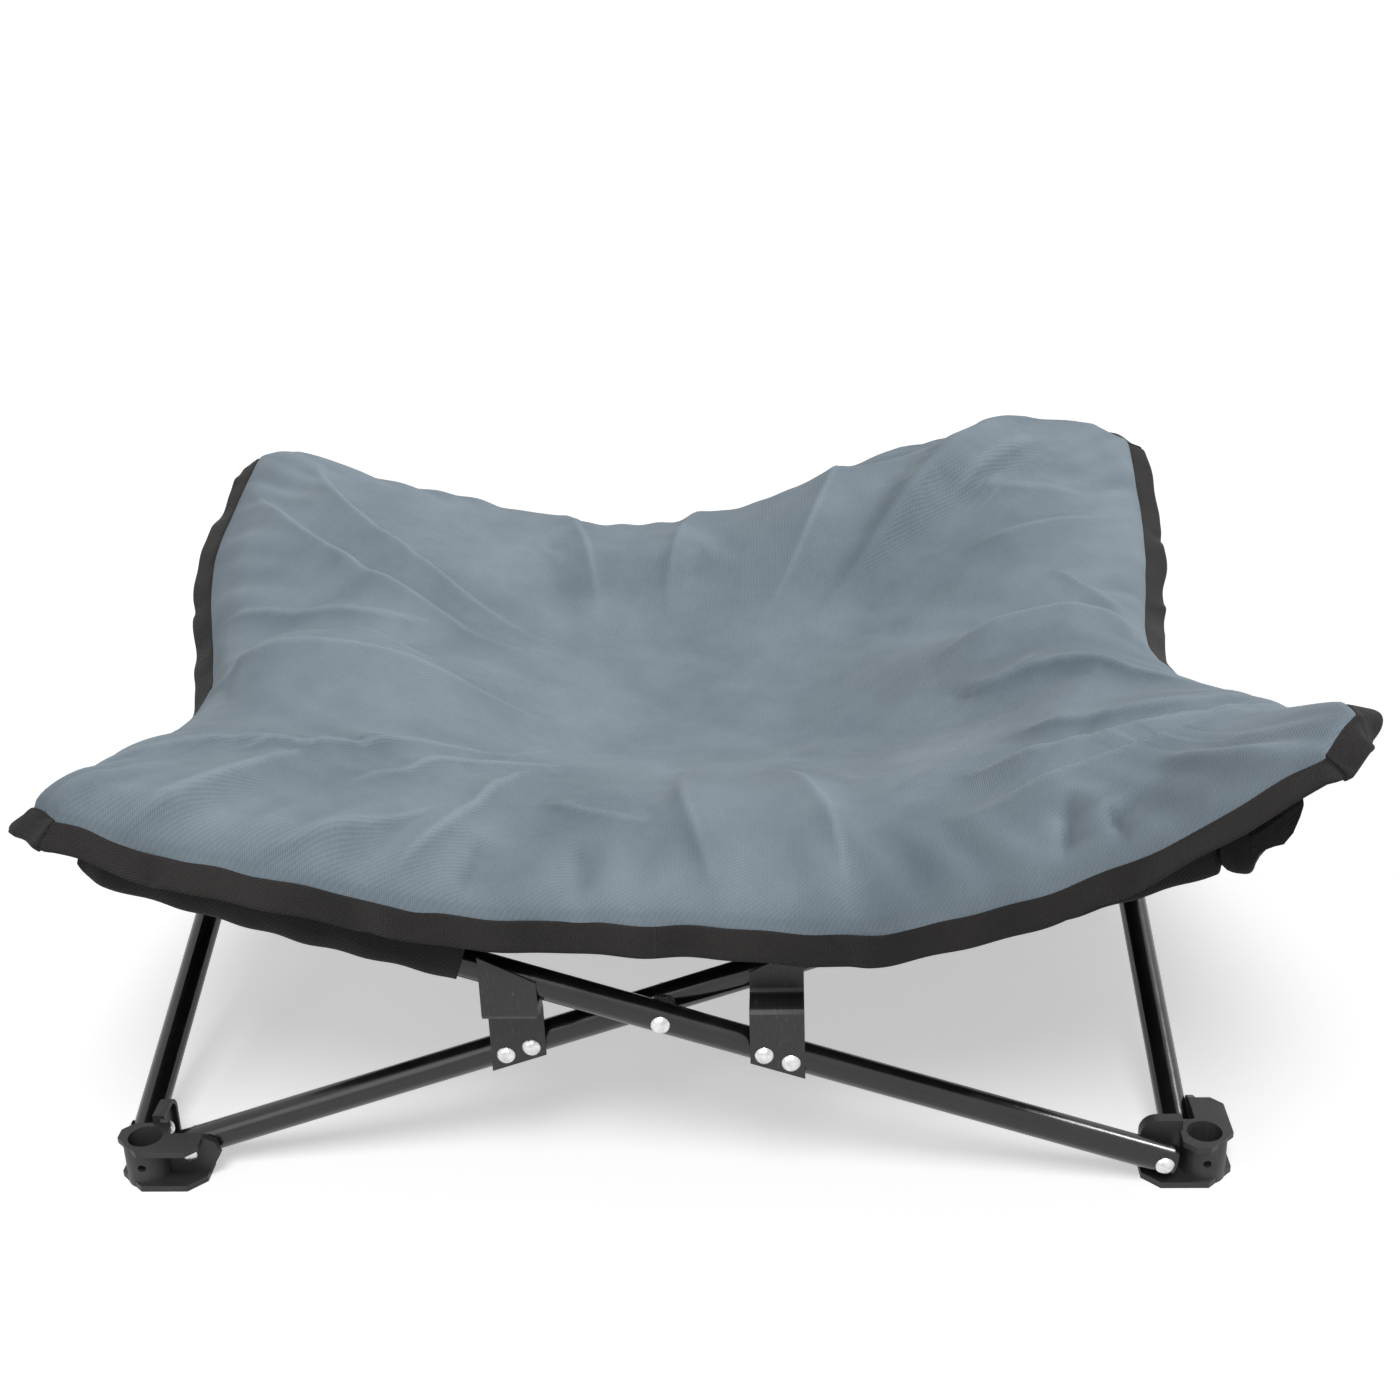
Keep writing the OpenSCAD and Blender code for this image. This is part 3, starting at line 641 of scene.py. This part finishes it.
def cut_cloth(places, hold):
    """The top cloth as a simulated mesh: cut larger than its places, held by weight, pressed from below."""
    quads = np.stack(cell_corners(len(places)), -1).reshape(-1, 4)
    cloth = new_mesh("settling_cloth", places.reshape(-1, 3), quads, ())
    group = cloth.vertex_groups.new(name="held")
    for weight in np.unique(hold).tolist():
        group.add(np.flatnonzero(hold == weight).tolist(), weight, "REPLACE")
    modifier = cloth.modifiers.new("settle", "CLOTH")
    settings = modifier.settings
    settings.quality = 6
    settings.mass = 0.25
    settings.tension_stiffness = settings.compression_stiffness = 18
    settings.shear_stiffness = 6
    settings.bending_stiffness = 0.8
    settings.tension_damping = settings.compression_damping = settings.shear_damping = 8
    settings.vertex_group_mass = "held"
    settings.pin_stiffness = 1.0
    cut = places * (1 + SPARE_CLOTH)
    cut[..., 2] = places[..., 2].mean()
    cloth.shape_key_add(name="Basis")
    flat = cloth.shape_key_add(name="cut")
    flat.data.foreach_set("co", (cut * MM).ravel())
    settings.rest_shape_key = flat
    settings.use_pressure = True
    settings.uniform_pressure_force = 1
    settings.effector_weights.gravity = 0
    modifier.collision_settings.use_collision = False
    modifier.point_cache.frame_start = 1
    modifier.point_cache.frame_end = SETTLE_FRAMES
    return cloth


def settle_cloth(top, xi, eta):
    """Lets the top cloth settle over its filling in a short simulation on every second point of the grid.

    The sewn edge is held, the cloth is cut a little large, and the filling presses it from below, so that the
    spare cloth gathers into wrinkles. A move of length d is cut to SETTLE_CAP tanh(d / SETTLE_CAP).
    """
    coarse = top[::2, ::2]
    s, _ = ring_walk(xi[::2, ::2], eta[::2, ::2])
    hold = np.clip(SETTLE_HOLD + smooth_step((s - HOLD_START) / HOLD_RUN), 0, 1).ravel()
    cloth = cut_cloth(coarse, hold)
    scene = bpy.context.scene
    for step in range(1, SETTLE_FRAMES + 1):
        scene.frame_set(step)
    settled = cloth.evaluated_get(bpy.context.evaluated_depsgraph_get()).data
    places = np.empty(coarse.size)
    settled.vertices.foreach_get("co", places)
    moved = places.reshape(coarse.shape) / MM - coarse
    scene.frame_set(1)
    mesh = cloth.data
    bpy.data.objects.remove(cloth)
    bpy.data.meshes.remove(mesh)
    length = np.linalg.norm(moved, axis=2, keepdims=True)
    moved *= SETTLE_CAP * np.tanh(length / SETTLE_CAP) / np.maximum(length, TINY)
    fine = halve_steps(halve_steps(moved).transpose(1, 0, 2)).transpose(1, 0, 2)
    return top + fine


def grid_triangles(xi, eta):
    """Two triangles per grid cell, cut along the pad's own diagonals, and the walk stretch of each."""
    a, b, c, d = cell_corners(len(xi))
    rising = (xi[:-1, :-1] + xi[1:, 1:]) * (eta[:-1, :-1] + eta[1:, 1:]) > 0
    first = np.where(rising[..., None], np.stack([a, b, c], -1), np.stack([a, b, d], -1))
    second = np.where(rising[..., None], np.stack([a, c, d], -1), np.stack([b, c, d], -1))
    triangles = np.concatenate([first.reshape(-1, 3), second.reshape(-1, 3)])
    _, p = ring_walk(xi.ravel()[triangles].mean(1), eta.ravel()[triangles].mean(1))
    return triangles, np.floor(p).astype(int)


def painted_crest_shading(height):
    """From -1 in a sharp valley to 1 on a sharp crest: how far each point stands over its four neighbours,
    which sets the painted shade in valleys and the painted highlight on crest lines.
    """
    z = np.pad(height, 1, mode="edge")
    over = height - (z[:-2, 1:-1] + z[2:, 1:-1] + z[1:-1, :-2] + z[1:-1, 2:]) / 4
    return np.tanh(over / CREST_FULL)


def make_gore(stretch, triangles, low, high, low_normals, high_normals, crest_shading_shares):
    """One gore as a closed solid: its share of the top and of the underside, and walls along its outline."""
    count = len(low)
    edges = np.concatenate([triangles[:, [0, 1]], triangles[:, [1, 2]], triangles[:, [2, 0]]])
    _, first, uses = np.unique(np.sort(edges, axis=1), axis=0, return_index=True, return_counts=True)
    rim = edges[first[uses == 1]]
    walls = np.concatenate([
        np.stack([rim[:, 0], rim[:, 0] + count, rim[:, 1] + count], 1),
        np.stack([rim[:, 0], rim[:, 1] + count, rim[:, 1]], 1),
    ])
    faces = np.concatenate([triangles, triangles[:, ::-1] + count, walls])
    points = np.concatenate([high, low])
    used, corner = np.unique(faces, return_inverse=True)
    corner = corner.reshape(faces.shape)
    carrier = CARRIERS[stretch]
    gore = new_mesh(f"{carrier}_pad", points[used], corner, (PAD_CLOTH, BASE_CLOTH))
    kind = np.repeat([0, 1, 1], [len(triangles), len(triangles), len(walls)])
    gore.data.polygons.foreach_set("material_index", kind.astype(np.int32))
    set_uv(gore.data, "cloth", points[faces].reshape(-1, 3)[:, :2] * MM)
    # Each top point's painted light for the crest attribute: painted highlight on crest lines and painted
    # shade in valleys; the underside gets none
    shares = np.concatenate([crest_shading_shares, np.zeros(count)])[used].astype(np.float32)
    gore.data.attributes.new("crest", "FLOAT", "POINT").data.foreach_set("value", shares)
    normals = np.concatenate([high_normals, low_normals])[faces]
    p0, p1, p2 = (points[walls[:, k]] for k in range(3))
    flat = np.cross(p1 - p0, p2 - p0)
    flat /= np.maximum(np.linalg.norm(flat, axis=1, keepdims=True), TINY)
    normals[-len(walls):] = flat[:, None, :]
    gore.data.normals_split_custom_set(normals.reshape(-1, 3).tolist())
    fold_away(gore, carrier)
    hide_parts(f"{carrier}_pad_gore")
    return gore


XI, ETA, PAD_LOW, PAD_HIGH = pad_surfaces()
PAD_HIGH = settle_cloth(PAD_HIGH, XI, ETA)
PAD_CREASES = cloth_creases(XI, ETA, PAD_HIGH[..., 0], PAD_HIGH[..., 1])
PAD_HIGH[..., 2] += PAD_CREASES
TRIANGLES, STRETCHES = grid_triangles(XI, ETA)
LOW_NORMALS = -surface_normals(PAD_LOW).reshape(-1, 3)
HIGH_NORMALS = surface_normals(PAD_HIGH).reshape(-1, 3)
# Painted light of the top: painted highlight on crest lines and painted shade in valleys, from the creases'
# heights
CREST_SHADING_SHARES = painted_crest_shading(PAD_CREASES).ravel()
for stretch in range(WALK):
    make_gore(
        stretch, TRIANGLES[STRETCHES == stretch], PAD_LOW.reshape(-1, 3), PAD_HIGH.reshape(-1, 3),
        LOW_NORMALS, HIGH_NORMALS, CREST_SHADING_SHARES,
    )


# Binding

TAPE_T = 2.6
TAPE_W = 16.0
# How far the tape laps over the pad's edge
TAPE_LAP = 1.6
# Slope of the tape below level at every half step of the walk, in degrees
TAPE_TILT = (60, 58, 14, 36, 40, 22, 20, 45, 50, 45, 28, 22, 40, 46, 34, 58)
# Places on the walk where the tape is kinked, and how far it turns there, in degrees
TAPE_KINKS = (
    (7.21, 24), (7.57, -20), (0.69, 24), (0.3, -14), (1.05, 48), (1.5, 12), (2.35, -10),
    (2.62, 9), (3.4, 14), (4.3, -14), (4.7, 14), (5.12, -10), (5.6, 10), (6.5, -14),
)
KINK_RUN = 0.022
# Waves of the tape's slope in degrees, and of its seam outwards and upwards: height, counts and seed
TILT_WAVES = (6, (17, 31, 46), 12)
OUT_WAVES = (0.6, (29, 44, 63), 11)
UP_WAVES = (0.7, (23, 41, 67), 13)
# Powers that round the tape's section across its thickness and across its width
ROUND_T = 0.6
ROUND_W = 0.35
# Points round the tape, and rings along one length of it
TAPE_AROUND = 28
TAPE_RINGS = 220
# The strip wrapped over each corner: its run on both sides of it, how much thicker and wider it is, and
# its rings
STRIP_RUN = 0.052
STRIP_T = 1.8
STRIP_W = 1.0
STRIP_RINGS = 24
# Step along the walk over which the edge's direction is measured
EDGE_STEP = 0.004


def edge_line(p):
    """The pad's edge along the walk: its lower points and the level unit vectors that point out of it."""
    xi, eta = ring_place(p)
    x, y = pad_plan(xi, eta)
    low = np.stack([x, y, pad_underside(xi, eta, x, y)], 1)
    after = np.stack(pad_plan(*ring_place(p + EDGE_STEP)), 1)
    ahead = after - np.stack(pad_plan(*ring_place(p - EDGE_STEP)), 1)
    out = np.stack([ahead[:, 1], -ahead[:, 0], np.zeros(len(p))], 1)
    return low, out / np.linalg.norm(out, axis=1, keepdims=True)


def tape_section(v, thick, tall):
    """A flat tape's rounded section: a superellipse, (outwards, upwards) at angle v."""
    c, s = np.cos(v), np.sin(v)
    return thick / 2 * np.sign(c) * np.abs(c) ** ROUND_T, tall / 2 * np.sign(s) * np.abs(s) ** ROUND_W


def tube_faces(rings, around):
    """Quads between neighbouring rings of points, which close round each ring."""
    i, j = np.meshgrid(np.arange(rings - 1), np.arange(around), indexing="ij")
    k = (j + 1) % around
    here, next_ring = i * around, (i + 1) * around
    return np.stack([here + j, next_ring + j, next_ring + k, here + k], -1).reshape(-1, 4)


def sweep(name, rings, material):
    """A closed solid through rings of points, shaped (ring, around, 3), with a middle point at both ends.

    Its cloth map has the run along the middles of the rings, and the girth round the first ring.
    """
    count, around, _ = rings.shape
    quads = tube_faces(count, around)
    middle = rings[[0, -1]].mean(axis=1)
    points = np.concatenate([rings.reshape(-1, 3), middle])
    ring = np.arange(around)
    ahead = (ring + 1) % around
    first, last = count * around, count * around + 1
    start = np.stack([ring, ahead, np.full(around, first)], 1)
    end = np.stack([(count - 1) * around + ahead, (count - 1) * around + ring, np.full(around, last)], 1)
    faces = quads.tolist() + start.tolist() + end.tolist()
    mesh = bpy.data.meshes.new(name)
    mesh.from_pydata((points * MM).tolist(), [], faces)
    mesh.materials.append(material)
    mesh.polygons.foreach_set("use_smooth", np.arange(len(faces)) < len(quads))
    run = np.concatenate([[0], np.cumsum(np.linalg.norm(np.diff(rings.mean(axis=1), axis=0), axis=1))])
    round_it = np.linalg.norm(np.roll(rings[0], -1, axis=0) - rings[0], axis=1)
    girth = np.concatenate([[0], np.cumsum(round_it)])
    i, j = np.meshgrid(np.arange(count - 1), np.arange(around), indexing="ij")
    uv = np.stack([
        np.stack([run[i], girth[j]], -1), np.stack([run[i + 1], girth[j]], -1),
        np.stack([run[i + 1], girth[j + 1]], -1), np.stack([run[i], girth[j + 1]], -1),
    ], 2).reshape(-1, 2)
    ends = np.concatenate([
        rings[0][np.stack([ring, ahead, ring], 1)], rings[-1][np.stack([ahead, ring, ring], 1)],
    ])
    set_uv(mesh, "cloth", np.concatenate([uv, ends.reshape(-1, 3)[:, :2]]) * MM)
    obj = bpy.data.objects.new(name, mesh)
    bpy.context.scene.collection.objects.link(obj)
    return obj


def tape_rings(p, thick, wide):
    """Rings of a tape that slopes down and out from the pad's edge, with waves and kinks along the walk."""
    low, out = edge_line(p)
    up = np.array([0, 0, 1.0])
    half_walk = WALK // 2
    kinks = sum(
        bell(np.mod(p - place + half_walk, WALK), half_walk, turn, KINK_RUN) for place, turn in TAPE_KINKS
    )
    slope = np.radians(round_curve(p, TAPE_TILT) + kinks + waves(p, *TILT_WAVES))[:, None]
    across = out * np.cos(slope) - up * np.sin(slope)
    facing = out * np.sin(slope) + up * np.cos(slope)
    seam = low + up * EDGE_T - across * TAPE_LAP
    seam = seam + out * waves(p, *OUT_WAVES)[:, None] + up * waves(p, *UP_WAVES)[:, None]
    middle = seam + across * (TAPE_W / 2)
    v = np.linspace(0, 2 * np.pi, TAPE_AROUND, endpoint=False)
    depth, width = (side[None, :, None] for side in tape_section(v, thick, wide))
    return middle[:, None, :] + facing[:, None, :] * depth - across[:, None, :] * width


def bind_edge(name, carrier, walk, thick, wide):
    """A length of tape on one gore's edge, which folds away with the gore."""
    tape = sweep(name, tape_rings(walk, thick, wide), TAPE)
    fold_away(tape, carrier)
    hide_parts(f"{carrier}_binding")


for stretch, carrier in enumerate(CARRIERS):
    length = np.linspace(stretch, stretch + 1, TAPE_RINGS)
    bind_edge(f"{carrier}_edge_tape", carrier, length, TAPE_T, TAPE_W)
    corner = stretch + (stretch + 1) % 2
    strip = np.linspace(max(stretch, corner - STRIP_RUN), min(stretch + 1, corner + STRIP_RUN), STRIP_RINGS)
    bind_edge(f"{carrier}_corner_strip", carrier, strip, TAPE_T + STRIP_T, TAPE_W + STRIP_W)


# Sleeves

SLEEVE_IN = TUBE_R + 0.5
SLEEVE_OUT = TUBE_R + 1.9
# On each side's tubes: how far a sewn end reaches past the tube's plug, how far the channel's spare
# cloth hangs below the tube, and how far its wall is drawn out to the pad's edge
TAILS = {"inner": (6.0, 4.0, 4.0, 4.0), "outer": (16.0, 34.0, 20.0, 24.0)}
HANGS = {"inner": (13.0, 0.0, 0.0, 0.0), "outer": (3.0, 9.0, 0.0, 0.0)}
FLARES = {"inner": (0.0, 0.0, 0.0, 0.0), "outer": (0.0, 22.0, 0.0, 0.0)}
# Run from the hem over which the hang and the flare come to their full size
HANG_RUN = 90.0
# Share of its width that a sewn end keeps, and how far its height is rounded off
PINCH = 0.15
END_ROUND = 0.8
# Power of the section's squarer upper half
SQUARE_TOP = 0.55
# On the unit section: the span over which the top corner is drawn up, how far below the middle the outer
# wall starts to be drawn out and over which span, and the span over which the spare cloth hangs
TOP_SPAN = 0.5
WALL_FROM = 0.6
WALL_SPAN = 1.1
HANG_SPAN = 0.8
# Flutes of the cloth: height, length along the sleeve over 2 pi and start, waves round it and their start
FLUTES = ((0.5, 5.1, 0.0, 2, 0.3), (0.4, 8.3, 1.0, 3, 0.0))
# How much of the flutes the inner and outer walls have
INSIDE_SLACK = 0.2
OUTSIDE_SLACK = 1.0
SLEEVE_RINGS = 90
TAIL_RINGS = 10
SLEEVE_AROUND = 40


def sleeve_wall(way, side, tail, hang, flare, half, slack):
    """Rings of one wall of a cloth channel on a tube's upper arm, from its open hem to its sewn end.

    The section is round below and squarer above, with its outer top drawn up to the pad's curled underside,
    its outer wall drawn out to the pad's edge and its spare cloth hanging below. Towards the sewn end it is
    pinched flat and rounded off.
    """
    tail_run = tail * np.linspace(1 / TAIL_RINGS, 1, TAIL_RINGS)
    along = np.concatenate([np.linspace(SLEEVE_START, SLEEVE_END, SLEEVE_RINGS), SLEEVE_END + tail_run])
    v = np.linspace(0, 2 * np.pi, SLEEVE_AROUND, endpoint=False)
    c, s = np.cos(v), np.sin(v)
    power = np.where(s > 0, SQUARE_TOP, 1.0)
    level = along * COS_OPEN
    p = 2 * side + way * level / PAD_CORNER
    edge = edge_plan(level / PAD_CORNER)[1] + round_curve(p, EDGE_OUT)
    onset = smooth_step((along - SLEEVE_START) / HANG_RUN)
    drawn_out = flare * onset
    share = (PLANE - way * TUBE_OFFSET + half + drawn_out) / edge
    curl = round_curve(p, EDGE_RISE) * smooth_step((share - CURL_START) / (1 - CURL_START))
    curl = curl + PAD_LIFT * smooth_step((level - PAD_CORNER + LIFT_RUN) / LIFT_RUN)
    outer_top = (smooth_step(s / TOP_SPAN) * smooth_step(c / TOP_SPAN))[None, :]
    drawn_up = np.maximum(curl, 0)[:, None] * outer_top
    waved = sum(
        height * np.sin(along / length + start)[:, None] * np.sin(count * v + turn)[None, :]
        for height, length, start, count, turn in FLUTES
    )
    reach = 1 + slack * waved / half
    pinch = 1 - (1 - PINCH) * smooth_step((along - SLEEVE_END) / tail)
    outwards = half * (np.sign(c) * np.abs(c) ** power)[None, :] * reach * pinch[:, None]
    outer_wall = (smooth_step((s + WALL_FROM) / WALL_SPAN) * smooth_step(c / TOP_SPAN))[None, :]
    outwards = outwards + drawn_out[:, None] * outer_wall
    rounded = np.sqrt(1 - END_ROUND * np.clip((along - SLEEVE_END) / tail, 0, 1) ** 2)[:, None]
    hanging = hang * onset[:, None] * smooth_step(-s / HANG_SPAN)[None, :]
    upwards = (half * (np.sign(s) * np.abs(s) ** power)[None, :] * reach + drawn_up - hanging) * rounded
    x = way * (level[:, None] - upwards * SIN_OPEN)
    z = PIVOT_Z + level[:, None] * SLOPE + upwards * COS_OPEN
    y = way * TUBE_OFFSET - PLANE - outwards
    angle = side * math.pi / 2
    return np.stack([
        x * math.cos(angle) - y * math.sin(angle), x * math.sin(angle) + y * math.cos(angle), z,
    ], -1)


for side, side_name in enumerate(SIDES):
    for way, tube_name in ((1, "inner"), (-1, "outer")):
        carrier = f"{side_name}_{tube_name}"
        tail, hang, flare = (sizes[tube_name][side] for sizes in (TAILS, HANGS, FLARES))
        inside = sleeve_wall(way, side, tail, hang, flare, SLEEVE_IN, INSIDE_SLACK)
        outside = sleeve_wall(way, side, tail, hang, flare, SLEEVE_OUT, OUTSIDE_SLACK)
        rings = np.concatenate([inside[-2::-1], outside])
        sleeve = sweep(f"{carrier}_sleeve_cloth", rings if way > 0 else rings[:, ::-1], BASE_CLOTH)
        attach(sleeve, carrier)
        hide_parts(f"{carrier}_sleeve")


# Floor, light and camera

# Share of white that the floor is lifted by for rays of sight, and half of the floor's width in millimetres
FLOOR_LIFT = 0.5
FLOOR_HALF = 60000.0
# Where the area lamp points, in metres
COT_MIDDLE = (0, 0, 0.12)


def sight_rays(tree):
    """1 for the camera's rays and for mirrored or refracted ones, and 0 for rays that light a surface."""
    paths = tree.nodes.new("ShaderNodeLightPath")
    seen = paths.outputs["Is Camera Ray"]
    for kind in ("Is Glossy Ray", "Is Transmission Ray"):
        either = tree.nodes.new("ShaderNodeMath")
        either.operation = "MAXIMUM"
        tree.links.new(seen, either.inputs[0])
        tree.links.new(paths.outputs[kind], either.inputs[1])
        seen = either.outputs[0]
    return seen


def pale_floor():
    """A wide floor that keeps the shadow and is lifted towards white for rays of sight alone."""
    material, tree, shader, node = new_material("pale_floor")
    shader.inputs["Base Color"].default_value = (0.8, 0.8, 0.8, 1)
    shader.inputs["Emission Color"].default_value = (1, 1, 1, 1)
    lifted = node("ShaderNodeMath", {0: sight_rays(tree), 1: FLOOR_LIFT}, operation="MULTIPLY").outputs[0]
    tree.links.new(lifted, shader.inputs["Emission Strength"])
    shader.inputs["Roughness"].default_value = 0.7
    shader.inputs["Specular IOR Level"].default_value = 0.1
    corners = [(FLOOR_HALF * x, FLOOR_HALF * y, 0) for x, y in ((-1, -1), (1, -1), (1, 1), (-1, 1))]
    floor = new_mesh("floor", corners, [(0, 1, 2, 3)], (material,))


def soft_box(name, place, size, power):
    """A square area lamp that faces the middle of the cot."""
    lamp = bpy.data.lights.new(name, "AREA")
    lamp.size = size
    lamp.energy = power
    aim_lamp(name, lamp, place, COT_MIDDLE)


def wide_sun(name, place, spread, strength):
    """A soft sun from the given direction, whose disc spreads over the given degrees."""
    lamp = bpy.data.lights.new(name, "SUN")
    lamp.angle = math.radians(spread)
    lamp.energy = strength
    return aim_lamp(name, lamp, place, (0, 0, 0))


def aim_lamp(name, lamp, place, target):
    """Puts a lamp at its place, pointing at the target."""
    obj = bpy.data.objects.new(name, lamp)
    obj.location = place
    obj.rotation_euler = (Vector(target) - Vector(place)).to_track_quat("-Z", "Y").to_euler()
    bpy.context.scene.collection.objects.link(obj)
    return obj


def light_only(lamp, pieces):
    """Keeps a lamp to the given pieces, so that the floor takes its shadow from the other lamps."""
    group = bpy.data.collections.new(f"lit_by_{lamp.name}")
    for piece in pieces:
        group.objects.link(piece)
    lamp.light_linking.receiver_collection = group


def white_world(level):
    """White to the camera and in reflections, and an even light of the given level on the object."""
    world = bpy.data.worlds.new("studio")
    bpy.context.scene.world = world
    world.use_nodes = True
    tree = world.node_tree
    strength = tree.nodes.new("ShaderNodeMapRange")
    strength.inputs["To Min"].default_value = level
    strength.inputs["To Max"].default_value = 1.0
    tree.links.new(sight_rays(tree), strength.inputs["Value"])
    tree.links.new(strength.outputs["Result"], tree.nodes["Background"].inputs["Strength"])
    tree.nodes["Background"].inputs["Color"].default_value = (1, 1, 1, 1)


CAMERA_AT = (0.07105, -1.14788, 0.64065)
CAMERA_FORWARD = (-0.04847, 0.92021, -0.38841)
CAMERA_ROLL = math.radians(-2.07)
FOCAL_PX = 1951.4
IMAGE_PX = 1400
SENSOR_MM = 36.0


def photo_camera():
    """The camera at the photograph's viewing angle: its forward and level vectors, turned by a small roll."""
    forward = Vector(CAMERA_FORWARD).normalized()
    level = forward.cross(Vector((0, 0, 1))).normalized()
    upright = level.cross(forward)
    right = level * math.cos(CAMERA_ROLL) + upright * math.sin(CAMERA_ROLL)
    up = upright * math.cos(CAMERA_ROLL) - level * math.sin(CAMERA_ROLL)
    data = bpy.data.cameras.new("photo_camera")
    data.sensor_width = SENSOR_MM
    data.lens = FOCAL_PX / IMAGE_PX * SENSOR_MM
    obj = bpy.data.objects.new("photo_camera", data)
    turn = Matrix((right, up, -forward)).transposed().to_4x4()
    obj.matrix_world = Matrix.Translation(CAMERA_AT) @ turn
    bpy.context.scene.collection.objects.link(obj)
    bpy.context.scene.camera = obj


cot_pieces = [obj for obj in bpy.context.scene.objects if obj.type == "MESH"]
pale_floor()
right_sun = wide_sun("right_sun", place=(1.0, 0.35, 1.0), spread=16, strength=1.9)
light_only(right_sun, cot_pieces)
wide_sun("top_sun", place=(0.0, -0.6, 1.0), spread=28, strength=1.7)
soft_box("front_left_light", place=(-1.8, -1.9, 1.5), size=1.2, power=6)
white_world(level=0.2)
photo_camera()
bpy.context.scene.view_settings.view_transform = "Standard"
